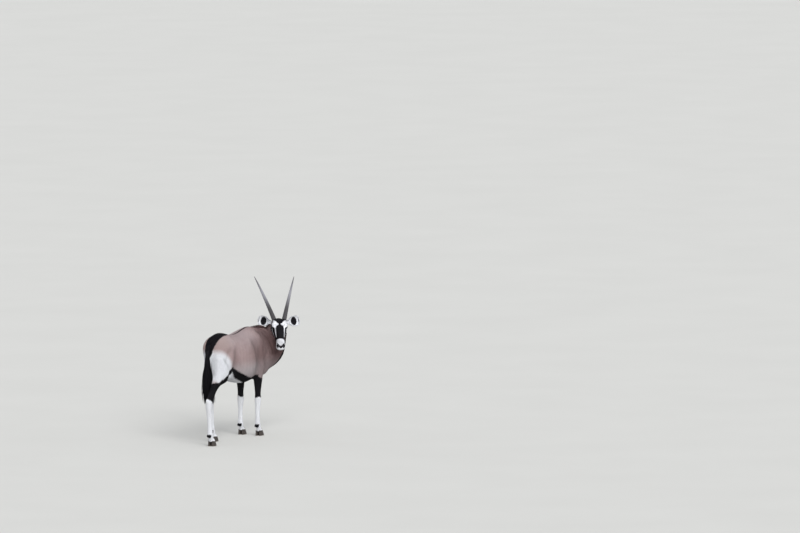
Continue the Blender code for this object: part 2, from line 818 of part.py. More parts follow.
def floor_block():
    """The space below the hooves' top edge."""
    around = ((-2, -2), (2, -2), (2, 2), (-2, 2))
    return block("floor_block", [(x, y, z) for z in (-0.1, HOOF_TOP) for x, y in around])


def centre_under(pieces):
    """Shifts every piece so that the middle of their box stands at the origin."""
    points = [v.co for item in pieces for v in item.data.vertices]
    low = Vector(min(p[i] for p in points) for i in range(3))
    high = Vector(max(p[i] for p in points) for i in range(3))
    move = Matrix.Translation((-(low.x + high.x) / 2, -(low.y + high.y) / 2, -low.z))
    for item in pieces:
        item.data.transform(move)
        item.data.shade_smooth()
        item.data.set_sharp_from_angle(angle=SHARP)


def main():
    head_piece = head()
    torso = body()
    torso.name = "torso"
    boolean(torso, grown(head_piece), "DIFFERENCE")
    keep_largest(torso)

    neck_piece = copy_of(torso, "neck")
    boolean(neck_piece, neck_block(0.0), "INTERSECT")
    keep_largest(neck_piece)
    as_piece(neck_piece, FAWN)
    boolean(torso, neck_block(GAP), "DIFFERENCE")
    keep_largest(torso)

    legs = []
    for side in (-1, 1):
        back = hind_place(side)[0]
        inner = 0.004 + side * HIP_SWAY
        fore = (side, 0.275, 0.500, 0.020, FORE_CROTCH, FORE_OUTER, 0.40)
        hind = (side, -1.0, -0.200 - 0.35 * back, inner, HIND_CROTCH, HIND_OUTER, 0.40)
        legs.append(part_leg(torso, "foreleg_" + side_name(side), fore))
        legs.append(part_leg(torso, "hindleg_" + side_name(side), hind))
    for leg in legs:
        boolean(leg, floor_block(), "DIFFERENCE")
        keep_largest(leg)
    hooves = []
    for side in (-1, 1):
        hock_x, hock_y = hind_place(side)[1:]
        hooves += hoof("fore", side, FORE_X + 0.036, side * STANCE_Y)
        hooves += hoof("hind", side, hock_x + 0.050, hock_y)

    union(neck_piece, crest_locks(0.10, 0.94))
    keep_largest(neck_piece)
    tail_piece = tail()
    for neighbour in [torso] + legs:
        boolean(tail_piece, grown(neighbour), "DIFFERENCE")
        keep_largest(tail_piece)

    added = []
    for side in (-1, 1):
        horn_piece, ear_piece = horn(side), ear(side)
        for piece, neighbour in ((horn_piece, head_piece), (ear_piece, head_piece), (ear_piece, horn_piece)):
            boolean(piece, grown(neighbour), "DIFFERENCE")
            keep_largest(piece)
        boolean(neck_piece, grown(ear_piece), "DIFFERENCE")
        keep_largest(neck_piece)
        added += [horn_piece, ear_piece, eyeball(side)]
    centre_under([torso, neck_piece, head_piece, tail_piece] + legs + hooves + added)


main()
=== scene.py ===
"""Gemsbok looking back over its right shoulder: hide, coat, markings, horns and eyes."""

import math

import bpy
import bmesh
import numpy as np
from mathutils import Matrix, Vector
from mathutils.bvhtree import BVHTree


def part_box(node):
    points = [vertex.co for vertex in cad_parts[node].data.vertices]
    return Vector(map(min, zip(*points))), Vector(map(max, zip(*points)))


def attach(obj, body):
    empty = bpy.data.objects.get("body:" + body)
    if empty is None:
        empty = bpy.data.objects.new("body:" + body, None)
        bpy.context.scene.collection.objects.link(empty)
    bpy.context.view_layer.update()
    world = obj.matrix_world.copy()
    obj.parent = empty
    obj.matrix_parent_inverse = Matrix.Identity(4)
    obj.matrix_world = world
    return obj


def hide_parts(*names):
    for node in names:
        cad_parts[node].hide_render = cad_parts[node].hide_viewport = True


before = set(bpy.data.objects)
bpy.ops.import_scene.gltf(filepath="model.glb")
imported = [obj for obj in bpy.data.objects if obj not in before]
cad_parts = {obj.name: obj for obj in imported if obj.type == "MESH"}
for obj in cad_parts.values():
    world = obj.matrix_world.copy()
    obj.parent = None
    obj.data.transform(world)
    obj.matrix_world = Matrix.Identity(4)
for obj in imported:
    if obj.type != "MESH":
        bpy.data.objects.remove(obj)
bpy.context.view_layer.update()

# Driving sizes, in metres, with the trunk facing +X and the hooves on Z = 0
WITHERS = (0.33, 0.0, 1.2)
FORE_X, HIND_X = 0.385, -0.5
STANCE_Y = 0.108
RIGHT_HIND_BACK, LEFT_HIND_BACK = 0.24, -0.15
HIP_SWAY = -0.05
HORN_LENGTH, HORN_LEAN, HORN_SPREAD, HORN_BEND = 0.9, 13.0, 11.2, 9.0
EAR_LENGTH = 0.158
TAIL_ROOT = (-0.58, -0.046, 1.05)
TAIL_TIP_Z, TAIL_SWAY = 0.43, -0.022
HORN_RINGS, HORN_RINGED = 31, 0.66
MANE_HALF_WIDTH = 0.016
HEAD_AT = (0.807, -0.138, 1.288)
HEAD_YAW, HEAD_PITCH, HEAD_TILT = math.radians(-146), math.radians(42.5), math.radians(-0.5)
EYE_AT = (0.14, 0.064, -0.046)
EYE_RADIUS = 0.0205
HOOF_TOP = 0.058
HIDE_END = HOOF_TOP - 0.006
COAT_DEPTH = 0.004
LIMB_SQUARENESS, NECK_SQUARENESS = 2.1, 1.8

# The right side and the left side
SIDES = (-1, 1)

# Cells and smoothing of the skins, the rim beside their folds, and how near counts as on the face
BODY_VOXEL, FACE_VOXEL = 0.006, 0.0028
BODY_PASSES, FACE_PASSES = 110, 40
FOLD_RIM = 0.25
ON_FACE, MARKED_FACE = 0.004, 0.003

# How wide a marking's edge frays, the field of a wholly black piece, and where the legs begin
FACE_EDGE, BODY_EDGE, EAR_EDGE = 0.0018, 0.006, 0.0015
ALL_BLACK = 0.05
LEG_TOP = 0.66

# The photograph's view
VIEW_AZIMUTH, VIEW_ELEVATION = -61.4, 5.5
PICTURE_SIZE = (800, 533)
SENSOR_WIDTH = 36.0
PIXELS_PER_METRE = 92.0
WITHERS_PIXEL = (246.5, 326.0)
CAMERA_DISTANCE = 97.0

# Numbers of tufts and locks, their proportions, and the fineness of horns, ears and claws
COAT_TUFTS = 290000
EAR_TUFTS, EAR_FRINGE = 8000, 1100
MANE_LOCKS, TAIL_LOCKS, LASHES = 3200, 3600, 30
LOCK_FLATNESS, TUFT_FLATNESS, TUFT_SLENDERNESS = 0.35, 0.6, 0.055
ROOT_DEPTH = 0.0008
HORN_STEPS, HORN_COLUMNS, EAR_COLUMNS, CLAW_COLUMNS = 420, 40, 19, 36

rng = np.random.default_rng(11)


def remember(made):
    """Links a new object to the scene."""
    bpy.context.scene.collection.objects.link(made)
    return made


def object_from(name, work):
    """A new object with the shape of a work mesh, which is freed."""
    mesh = bpy.data.meshes.new(name)
    work.to_mesh(mesh)
    work.free()
    return remember(bpy.data.objects.new(name, mesh))


# Forms, the same as the solids but finer
def smooth_values(stations, steps):
    """Catmull-Rom values between the rows of a table of stations."""
    rows = np.array(stations, float)
    rows = np.vstack([2 * rows[0] - rows[1], rows, 2 * rows[-1] - rows[-2]])
    out = []
    for i in range(1, len(rows) - 2):
        a, b, c, d = rows[i - 1 : i + 3]
        for k in range(steps):
            t = k / steps
            square = (2 * a - 5 * b + 4 * c - d) * t * t
            out.append(0.5 * (2 * b + (c - a) * t + square + (3 * b - a - 3 * c + d) * t ** 3))
    out.append(rows[-2])
    return np.array(out)


def way_at(stations, i):
    """The way from the station before station i to the one after it."""
    after = stations[min(i + 1, len(stations) - 1)]
    before = stations[max(i - 1, 0)]
    return (Vector(after[:3]) - Vector(before[:3])).normalized()


def oval(centre, side, up, half_width, rise, drop, power, count):
    """A ring round centre, rise above it and drop below it, squarer as power grows."""
    points = []
    for i in range(count):
        angle = 2 * math.pi * i / count
        c, s = math.cos(angle), math.sin(angle)
        across = math.copysign(abs(c) ** (2 / power), c) * half_width
        along = math.copysign(abs(s) ** (2 / power), s) * (rise if s > 0 else drop)
        points.append(Vector(centre) + Vector(side) * across + Vector(up) * along)
    return points


def loft(name, rings):
    """A closed skin through rings of like count, with a pole in the middle of each end."""
    count = len(rings[0])
    points = [p for ring in rings for p in ring]
    faces = []
    for start in range(0, count * (len(rings) - 1), count):
        for i in range(count):
            j = (i + 1) % count
            faces.append((start + i, start + j, start + count + j, start + count + i))
    for ring, start, turned in ((rings[0], 0, True), (rings[-1], count * (len(rings) - 1), False)):
        pole = len(points)
        points.append(sum(ring, Vector()) / count)
        for i in range(count):
            a, b = start + i, start + (i + 1) % count
            faces.append((b, a, pole) if turned else (a, b, pole))
    mesh = bpy.data.meshes.new(name)
    mesh.from_pydata([tuple(p) for p in points], [], faces)
    work = bmesh.new()
    work.from_mesh(mesh)
    bpy.data.meshes.remove(mesh)
    bmesh.ops.recalc_face_normals(work, faces=work.faces)
    return object_from(name, work)


def ball(name, centre, radii, turn=None, segments=24, rings=14):
    """An ellipsoid with the given half axes, turned about its own centre."""
    work = bmesh.new()
    bmesh.ops.create_uvsphere(work, u_segments=segments, v_segments=rings, radius=1.0)
    size = Matrix.Diagonal((*radii, 1.0))
    turned = (turn or Matrix.Identity(3)).to_4x4()
    bmesh.ops.transform(work, matrix=Matrix.Translation(centre) @ turned @ size, verts=work.verts)
    return object_from(name, work)


def limb(name, stations, steps=4):
    """A tube along stations of (x, y, z, fore-and-aft radius, sideways radius)."""
    rows = smooth_values(stations, steps)
    rings = []
    for i, row in enumerate(rows):
        ahead = way_at(rows, i)
        front = (Vector((1, 0, 0)) - ahead * ahead.x).normalized()
        side = ahead.cross(front)
        rings.append(oval(row[:3], side, front, row[4], row[3], row[3], LIMB_SQUARENESS, 20))
    return loft(name, rings)


def apply_modifiers(item):
    """Gives the item the mesh that its modifiers make of it."""
    bpy.context.view_layer.update()
    graph = bpy.context.evaluated_depsgraph_get()
    mesh = bpy.data.meshes.new_from_object(item.evaluated_get(graph))
    item.modifiers.clear()
    item.data = mesh


def joined(name, items):
    """One object with all the items' skins, which are removed."""
    work = bmesh.new()
    for item in items:
        work.from_mesh(item.data)
        bpy.data.objects.remove(item)
    return object_from(name, work)


def boolean(item, other, operation):
    """Cuts or joins another object into item and removes it."""
    step = item.modifiers.new(operation, "BOOLEAN")
    step.operation = operation
    step.solver = "MANIFOLD"
    step.object = other
    apply_modifiers(item)
    bpy.data.objects.remove(other)


def head_frame():
    """The head's own frame: X towards the nose, Y to its left, Z off its brow."""
    forward = Vector((math.cos(HEAD_PITCH) * math.cos(HEAD_YAW),
                      math.cos(HEAD_PITCH) * math.sin(HEAD_YAW),
                      -math.sin(HEAD_PITCH)))
    left = Vector((-math.sin(HEAD_YAW), math.cos(HEAD_YAW), 0.0))
    brow = forward.cross(left)
    basis = Matrix((forward, left, brow)).transposed().to_4x4()
    level = Vector((math.cos(HEAD_YAW), math.sin(HEAD_YAW), 0.0))
    return Matrix.Translation(HEAD_AT) @ Matrix.Rotation(HEAD_TILT, 4, level) @ basis


HEAD = head_frame()
HEAD_TURN = HEAD.to_3x3()


def on_head(*point):
    return HEAD @ Vector(point)


def part_shift():
    """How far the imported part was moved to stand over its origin: its left eye tells."""
    low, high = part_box("eye_left")
    return (Vector(low) + Vector(high)) / 2 - on_head(*EYE_AT)


SHIFT = part_shift()


def tilt(degrees, axis="Y"):
    return Matrix.Rotation(math.radians(degrees), 3, axis)


TRUNK = (  # x, top, bottom, half width, height of the widest place, squareness
    (-0.605, 1.015, 0.9, 0.028, 0.95, 2.0),
    (-0.58, 1.072, 0.82, 0.058, 0.95, 2.0),
    (-0.53, 1.128, 0.75, 0.086, 0.93, 2.0),
    (-0.45, 1.172, 0.71, 0.122, 0.92, 2.0),
    (-0.37, 1.19, 0.69, 0.148, 0.92, 2.0),
    (-0.27, 1.184, 0.69, 0.172, 0.93, 2.0),
    (-0.15, 1.16, 0.66, 0.198, 0.89, 2.0),
    (-0.03, 1.141, 0.625, 0.222, 0.85, 2.1),
    (0.09, 1.145, 0.6, 0.228, 0.84, 2.1),
    (0.2, 1.172, 0.592, 0.208, 0.85, 2.0),
    (0.32, 1.198, 0.6, 0.175, 0.87, 1.9),
    (0.42, 1.19, 0.612, 0.156, 0.88, 1.9),
    (0.52, 1.16, 0.64, 0.138, 0.88, 2.0),
    (0.6, 1.1, 0.68, 0.112, 0.86, 2.0),
    (0.655, 1.0, 0.74, 0.07, 0.86, 2.0),
)

NECK = (  # x, y, z, half width, half depth
    (0.33, 0.0, 0.955, 0.13, 0.232),
    (0.46, 0.004, 0.942, 0.126, 0.24),
    (0.59, -0.01, 0.925, 0.124, 0.245),
    (0.695, -0.038, 0.928, 0.124, 0.236),
    (0.785, -0.064, 0.96, 0.113, 0.206),
    (0.83, -0.073, 1.026, 0.098, 0.162),
    (0.846, -0.08, 1.1, 0.078, 0.13),
    (0.846, -0.094, 1.165, 0.068, 0.104),
    (0.838, -0.108, 1.215, 0.06, 0.084),
)

SKULL = (  # distance from the poll, top, bottom, half width, squareness
    (-0.01, -0.11, -0.15, 0.03, 2.0),
    (0.008, -0.075, -0.172, 0.056, 2.0),
    (0.045, -0.034, -0.192, 0.071, 2.0),
    (0.09, -0.004, -0.2, 0.079, 2.2),
    (0.14, 0.0, -0.195, 0.08, 2.3),
    (0.19, -0.006, -0.178, 0.069, 2.3),
    (0.24, -0.014, -0.156, 0.057, 2.3),
    (0.29, -0.022, -0.138, 0.049, 2.4),
    (0.335, -0.028, -0.127, 0.047, 2.5),
    (0.37, -0.033, -0.122, 0.049, 2.5),
    (0.4, -0.04, -0.118, 0.05, 2.4),
    (0.422, -0.052, -0.11, 0.042, 2.3),
    (0.436, -0.068, -0.098, 0.026, 2.0),
)


def sway(x):
    """The hips are swung a little towards the right, the loins bend into them."""
    t = np.clip(-x / 0.5, 0.0, 1.0)
    return HIP_SWAY * t * t * (3 - 2 * t)


def trunk():
    rings = []
    for x, top, bottom, half_width, widest, power in smooth_values(TRUNK, 6):
        centre = (x, sway(x), widest)
        rise, drop = top - widest, widest - bottom
        rings.append(oval(centre, (0, 1, 0), (0, 0, 1), half_width, rise, drop, power, 48))
    return loft("trunk", rings)


def neck_rows(steps):
    """Centre, ways ahead, up and across, and radii at each place along the neck."""
    rows = smooth_values(NECK, steps)
    made = []
    for i, row in enumerate(rows):
        ahead = way_at(rows, i)
        up = (Vector((0, 0, 1)) - ahead * ahead.z).normalized()
        made.append((Vector(row[:3]), ahead, up, up.cross(ahead), row[3], row[4]))
    return made


def neck():
    rings = [oval(at, side, up, half_width, depth, depth, NECK_SQUARENESS, 44)
             for at, _, up, side, half_width, depth in neck_rows(7)]
    return loft("neck", rings)


def skull():
    rings = []
    for x, top, bottom, half_width, power in smooth_values(SKULL, 6):
        middle = (top + bottom) / 2
        rise, drop = top - middle, middle - bottom
        ring = oval((x, 0.0, middle), (0, 1, 0), (0, 0, 1), half_width, rise, drop, power, 48)
        rings.append([HEAD @ p for p in ring])
    return loft("skull", rings)


HEAD_PAIRS = (  # name, place of the left one on the head, half axes
    ("cheek", (0.085, 0.05, -0.12), (0.062, 0.03, 0.07)),
    ("brow", (0.126, 0.064, -0.03), (0.036, 0.024, 0.024)),
    ("cheekbone", (0.17, 0.06, -0.068), (0.05, 0.017, 0.018)),
    ("nostril_wing", (0.398, 0.031, -0.062), (0.03, 0.02, 0.023)),
    ("lip", (0.385, 0.028, -0.096), (0.038, 0.023, 0.02)),
    ("horn_seat", (0.086, 0.044, -0.02), (0.038, 0.031, 0.028)),
    ("ear_seat", (0.042, 0.06, -0.09), (0.03, 0.022, 0.03)),
)


def head_masses():
    """Cheeks, brows, jaw and muzzle, laid on the skull."""
    masses = [ball(name, on_head(x, side * y, z), radii, HEAD_TURN)
              for side in SIDES for name, (x, y, z), radii in HEAD_PAIRS]
    masses.append(ball("chin", on_head(0.378, 0.0, -0.114), (0.034, 0.029, 0.02), HEAD_TURN))
    masses.append(ball("nape", on_head(0.03, 0.0, -0.112), (0.052, 0.062, 0.068), HEAD_TURN))
    return masses


TRUNK_PAIRS = (  # name, place, half axes, share of the hips' sway, x and lean per metre set back, lean
    ("shoulder_blade", (0.375, 0.08, 0.93), (0.095, 0.07, 0.215), 0.0, 0.0, 0, 14),
    ("upper_arm", (0.43, 0.096, 0.775), (0.105, 0.06, 0.11), 0.0, 0.0, 0, -20),
    ("triceps", (0.31, 0.108, 0.79), (0.095, 0.06, 0.115), 0.0, 0.0, 0, 25),
    ("hip", (-0.235, 0.112, 1.05), (0.07, 0.042, 0.055), 0.5, 0.0, 0, 0),
    ("seat_bone", (-0.55, 0.042, 1.0), (0.045, 0.032, 0.07), 1.0, 0.0, 0, 0),
    ("rump", (-0.39, 0.055, 1.02), (0.18, 0.075, 0.14), 1.0, 0.1, 0, 0),
    ("thigh", (-0.39, 0.092, 0.85), (0.155, 0.072, 0.225), 1.0, -0.4, 40, 0),
    ("stifle", (-0.325, 0.112, 0.75), (0.074, 0.052, 0.1), 1.0, -0.5, 0, 0),
    ("flank_fold", (-0.215, 0.108, 0.76), (0.085, 0.038, 0.085), 0.5, -0.3, 0, 0),
)


def trunk_masses():
    """The muscles and bones that show through the hide of the trunk."""
    masses = []
    for side in SIDES:
        back = set_back(side)
        for name, (x, y, z), radii, swayed, follow, turn, lean in TRUNK_PAIRS:
            centre = (x + follow * back, side * y + swayed * HIP_SWAY, z)
            masses.append(ball(name, centre, radii, tilt(lean + turn * back)))
    masses.append(ball("brisket", (0.64, 0.0, 0.738), (0.115, 0.092, 0.108), tilt(-30)))
    return masses


FORELEG = (  # x from the leg's middle, height, half length, half width
    (-0.01, 0.8, 0.095, 0.06),
    (-0.004, 0.72, 0.088, 0.056),
    (0.004, 0.64, 0.067, 0.049),
    (0.004, 0.55, 0.047, 0.039),
    (0.002, 0.46, 0.034, 0.032),
    (0.004, 0.405, 0.037, 0.036),
    (0.002, 0.35, 0.03, 0.032),
    (-0.002, 0.29, 0.025, 0.026),
    (-0.003, 0.2, 0.023, 0.025),
    (-0.002, 0.145, 0.029, 0.029),
    (0.002, 0.118, 0.031, 0.031),
    (0.016, 0.085, 0.026, 0.029),
    (0.03, 0.055, 0.033, 0.034),
    (0.034, 0.03, 0.03, 0.03),
)

HINDLEG = (  # x from the hock, share of the set-back, height, half length, half width
    (0.115, 0.54, 0.8, 0.11, 0.06),
    (0.09, 0.4, 0.72, 0.082, 0.055),
    (0.05, 0.2, 0.64, 0.058, 0.045),
    (0.024, 0.1, 0.56, 0.047, 0.037),
    (-0.006, 0.0, 0.49, 0.042, 0.032),
    (-0.018, 0.0, 0.445, 0.043, 0.034),
    (-0.016, 0.0, 0.395, 0.034, 0.031),
    (-0.006, 0.0, 0.33, 0.027, 0.027),
    (0.004, 0.0, 0.22, 0.025, 0.025),
    (0.008, 0.0, 0.15, 0.03, 0.029),
    (0.012, 0.0, 0.12, 0.032, 0.031),
    (0.026, 0.0, 0.085, 0.027, 0.03),
    (0.04, 0.0, 0.06, 0.034, 0.038),
    (0.046, 0.0, 0.04, 0.034, 0.036),
)

HEEL = (  # the heel bone above the hock, in the same columns
    (-0.03, 0.0, 0.43, 0.018, 0.018),
    (-0.05, 0.0, 0.48, 0.02, 0.016),
    (-0.05, 0.0, 0.515, 0.017, 0.014),
    (-0.03, 0.2, 0.59, 0.014, 0.011),
    (0.03, 0.3, 0.66, 0.012, 0.01),
)


def foreleg(side):
    return limb("foreleg", [(FORE_X + ahead, side * STANCE_Y * (1.02 if z > 0.7 else 1), z, length, width)
                            for ahead, z, length, width in FORELEG])


def set_back(side):
    """How far the hind leg of a side is set back."""
    return RIGHT_HIND_BACK if side < 0 else LEFT_HIND_BACK


def hock(side):
    """The x and y of a hind leg's hock."""
    return HIND_X - set_back(side), side * STANCE_Y * 0.92 + HIP_SWAY


def hind_limb(name, side, table):
    """A tube of a hind leg, whose upper stations follow the foot only in part."""
    x, y = hock(side)
    stations = []
    for ahead, share, z, length, width in table:
        # the thick upper part stands a little further out
        aside = y + side * 0.006 if length > 0.05 else y
        stations.append((x + ahead + share * set_back(side), aside, z, length, width))
    return limb(name, stations)


def dew_claws(side):
    """Two small claws behind each fetlock."""
    x, y = hock(side)
    made = []
    for heel_x, heel_y, z in ((x - 0.018, y, 0.112), (FORE_X - 0.028, side * STANCE_Y, 0.11)):
        for claw in SIDES:
            made.append(ball("dew_claw", (heel_x, heel_y + claw * 0.017, z), (0.014, 0.009, 0.015)))
    return made


def read(items, name, width, kind=float):
    """A property of every item as rows of the given width."""
    found = np.empty(len(items) * width, kind)
    items.foreach_get(name, found)
    return found.reshape(-1, width)


def points_of(item):
    return read(item.data.vertices, "co", 3)


def normals_of(item):
    return read(item.data.vertices, "normal", 3)


def press_in(item, depth):
    """Moves each point of the item inwards by its own depth."""
    points = points_of(item) - normals_of(item) * depth[:, None]
    item.data.vertices.foreach_set("co", np.ascontiguousarray(points, dtype=np.float32).ravel())
    item.data.update()


def head_places(points):
    """The same points in the head's own frame."""
    turn = np.array(HEAD.inverted())
    return points @ turn[:3, :3].T + turn[:3, 3]


def ramp(values, low, high):
    """Rises smoothly from 0 at low to 1 at high."""
    t = np.clip((values - low) / (high - low), 0.0, 1.0)
    return t * t * (3 - 2 * t)


def smooth_by(item, weights, factor, passes):
    """Smooths the mesh, each point as much as its weight says."""
    group = item.vertex_groups.new(name="soft")
    levels = np.round(weights * 20) / 20
    for level in np.unique(levels):
        group.add(np.flatnonzero(levels == level).tolist(), float(level), "REPLACE")
    step = item.modifiers.new("soften", "SMOOTH")
    step.factor = factor
    step.iterations = passes
    step.vertex_group = "soft"
    apply_modifiers(item)
    item.vertex_groups.clear()


def fused(name, pieces, voxel, softness, passes):
    """One closed skin round all the pieces, smoothed where softness() says."""
    made = joined(name, pieces)
    step = made.modifiers.new("fuse", "REMESH")
    step.mode = "VOXEL"
    step.voxel_size = voxel
    step.adaptivity = 0.0
    apply_modifiers(made)
    smooth_by(made, softness(points_of(made)), 0.8, passes)
    smooth_by(made, np.ones(len(made.data.vertices)), 0.5, 3)
    return made


def body_softness(points):
    """How far the hide is smoothed: much on the trunk, little down the legs."""
    low = np.where(points[:, 0] < 0, 0.48, 0.6)
    return 0.06 + 0.94 * np.clip((points[:, 2] - low) / 0.1, 0.0, 1.0)


def head_softness(points):
    ahead = head_places(points)[:, 0]
    return np.where(ahead < 0.05, 1.0, np.maximum(0.22, 1.0 - (ahead - 0.05) * 4.0))


def line_distance(points, line):
    """How far each point lies from a chain of straight lines, on a plane or in space."""
    best = np.full(len(points), 9.0)
    for a, b in zip(line[:-1], line[1:]):
        a, b = np.array(a), np.array(b)
        share = np.clip((points - a) @ (b - a) / ((b - a) @ (b - a)), 0.0, 1.0)
        gap = np.linalg.norm(points - a - share[:, None] * (b - a), axis=1)
        best = np.minimum(best, gap)
    return best


CREASES = (  # side, depth (less than nothing for a ridge), width, and places (x, z) along it
    (-1, 0.008, 0.032, ((-0.235, 1.07), (-0.255, 0.96), (-0.265, 0.85), (-0.24, 0.74))),
    (1, 0.007, 0.032, ((-0.2, 1.06), (-0.19, 0.94), (-0.18, 0.83), (-0.15, 0.74))),
    (0, 0.007, 0.036, ((0.17, 1.04), (0.19, 0.9), (0.225, 0.76))),
    (-1, 0.008, 0.028, ((0.42, 1.15), (0.505, 1.04), (0.545, 0.9))),
    (-1, 0.01, 0.026, ((0.5, 1.14), (0.59, 1.03), (0.64, 0.88))),
    (-1, 0.01, 0.024, ((0.59, 1.13), (0.67, 1.03), (0.715, 0.9))),
    (-1, 0.008, 0.02, ((0.68, 1.13), (0.735, 1.05), (0.775, 0.95))),
    (0, 0.006, 0.03, ((0.445, 0.93), (0.47, 0.82), (0.54, 0.74))),
    (-1, 0.005, 0.016, ((-0.52, 0.925), (-0.46, 0.86), (-0.4, 0.805))),
    (0, -0.005, 0.03, ((0.345, 1.13), (0.385, 1.0), (0.425, 0.88))),
    (0, 0.004, 0.026, ((0.275, 0.96), (0.255, 0.86), (0.29, 0.74))),
    (0, -0.006, 0.036, ((-0.205, 1.08), (-0.265, 1.035))),
    (0, 0.004, 0.03, ((-0.31, 1.02), (-0.4, 0.985), (-0.48, 0.9))),
    (0, -0.004, 0.04, ((-0.33, 0.76), (-0.36, 0.86), (-0.4, 0.94))),
) + tuple((0, 0.0014, 0.018, ((x, 1.03), (x - 0.03, 0.9), (x - 0.015, 0.76)))
          for x in (0.11, 0.05, -0.01, -0.07, -0.13))


def fold_depth(points, rim=0.0):
    """How deep the folds are at each point; rim is the share of a raised rim beside them."""
    sunk = np.zeros(len(points))
    for side, depth, width, line in CREASES:
        gap = line_distance(points[:, [0, 2]], line) / width
        out = points[:, 1] - sway(points[:, 0])
        shown = ramp(out * side if side else np.abs(out), 0.02, 0.08)
        sunk += shown * depth * (np.exp(-gap ** 2) - rim * np.exp(-(gap - 1.9) ** 2))
    return sunk


def lids():
    """Balls that the lids are drawn over, a little larger than the eyes."""
    x, y, z = EYE_AT
    made = []
    for side in SIDES:
        lid = on_head(x, side * (y + 0.0005), z)
        ridge = on_head(x + 0.03, side * 0.068, z - 0.006)
        made.append(ball("lid", lid, [EYE_RADIUS + 0.0038] * 3, HEAD_TURN))
        made.append(ball("tear_ridge", ridge, (0.02, 0.008, 0.006), HEAD_TURN))
    return made


def carve_face(head):
    """Opens the lids and nostrils and draws the line of the mouth."""
    x, y, z = EYE_AT
    for side in SIDES:
        cuts = (
            ball("lid_opening", on_head(x + 0.001, side * (y + 0.029), z),
                 (0.019, 0.03, 0.0126), HEAD_TURN @ tilt(-8), 64, 32),
            ball("eye_corner", on_head(x + 0.017, side * (y + 0.022), z - 0.0035),
                 (0.0085, 0.016, 0.003), HEAD_TURN @ tilt(14), 32, 16),
            nostril(side, 0.0, 0.017, 0.0068),
            nostril(side, 0.009, 0.011, 0.0045),
        )
        for cut in cuts:
            boolean(head, cut, "DIFFERENCE")
    boolean(head, mouth_line(), "DIFFERENCE")


def nostril(side, up, length, height):
    turn = HEAD_TURN @ tilt(38) @ tilt(side * -28, "Z")
    centre = on_head(0.421 - up * 1.2, side * (0.0345 + up * 0.4), -0.054 + up)
    return ball("nostril", centre, (length, 0.007, height), turn, 40, 20)


MOUTH = ((0.335, 0.05, 0.0), (0.372, 0.051, 0.0), (0.4, 0.048, 0.0), (0.421, 0.037, 0.0),
         (0.433, 0.018, 0.0), (0.4365, 0.0, 0.0))
MOUTH_DROP = 0.012


def mouth_line():
    """A fine groove round the muzzle between the lips."""
    half = smooth_values(MOUTH, 5)
    front = MOUTH[-1][0]
    stations = [(x, -y, 0.0) for x, y, _ in half] + [(x, y, 0.0) for x, y, _ in half[-2::-1]]
    rings = []
    for i, (x, y, _) in enumerate(stations):
        side = Vector((0, 0, 1)).cross(way_at(stations, i))
        at = Vector((x, y, -0.088 - MOUTH_DROP * (1 - x / front)))
        ring = oval(at, side, (0, 0, 1), 0.0045, 0.0016, 0.0016, 2.0, 10)
        rings.append([HEAD @ p for p in ring])
    return loft("mouth_line", rings)


def floor_block(top):
    """A wide block that reaches up to a height, to cut off what lies below."""
    low, high = Vector((-2, -2, -0.1)), Vector((2, 2, top))
    work = bmesh.new()
    bmesh.ops.create_cube(work, size=1.0)
    place = Matrix.Translation((low + high) / 2) @ Matrix.Diagonal((*(high - low), 1.0))
    bmesh.ops.transform(work, matrix=place, verts=work.verts)
    return object_from("floor_block", work)


def tree_of(item):
    return BVHTree.FromObject(item, bpy.context.evaluated_depsgraph_get())


def distances(tree, points):
    return np.array([tree.find_nearest(Vector(p))[3] for p in points])


def body():
    """Trunk, neck and legs as one folded skin, cut off above the hooves."""
    pieces = [trunk(), neck()] + trunk_masses()
    for side in SIDES:
        pieces += [foreleg(side), hind_limb("hindleg", side, HINDLEG), hind_limb("heel", side, HEEL)]
        pieces += dew_claws(side)
    made = fused("hide", pieces, BODY_VOXEL, body_softness, BODY_PASSES)
    press_in(made, fold_depth(points_of(made), FOLD_RIM))
    boolean(made, floor_block(HIDE_END), "DIFFERENCE")
    return made


def hide():
    """The whole hide as one skin, and each point's distance from the face and from its seam."""
    made = body()
    face = fused("face", [skull()] + head_masses() + lids(), FACE_VOXEL, head_softness, FACE_PASSES)
    carve_face(face)
    body_tree, face_tree = tree_of(made), tree_of(face)
    boolean(made, face, "UNION")
    points = points_of(made)
    from_face = distances(face_tree, points)
    seam = np.flatnonzero((from_face < 1e-4) & (distances(body_tree, points) < 1e-4))
    near = np.min(np.linalg.norm(points[:, None] - points[seam][None, ::6], axis=2), axis=1)
    smooth_by(made, 1 - ramp(near, 0.008, 0.035), 0.6, 14)
    under_coat = COAT_DEPTH * ramp(points[:, 2], 0.3, 0.7) * 0.8 + 0.0008
    press_in(made, np.where(from_face < ON_FACE, 0.0012, under_coat))
    return made, from_face, near


# Markings, as fields over the hide: above zero inside a marking, in metres from its edge

def nearest_on_neck(points):
    """Each point's place along the neck from 0 to 1, and centre and ways of the neck there."""
    rows = neck_rows(6)
    centres, ways, ups, sides = (np.array([row[k] for row in rows]) for k in range(4))
    nearest = np.argmin(((points[:, None] - centres[None]) ** 2).sum(2), axis=1)
    return nearest / (len(rows) - 1), centres[nearest], ways[nearest], ups[nearest], sides[nearest]


def past_shoulder(points):
    """How far each point lies ahead of the slanting line where the neck begins."""
    return points[:, 0] - 0.43 - (WITHERS[2] - points[:, 2]) * 0.42


def along(values, places, sizes):
    return np.interp(values, places, sizes)


def lowest(*fields):
    return np.minimum.reduce(fields)


def highest(*fields):
    return np.maximum.reduce(fields)


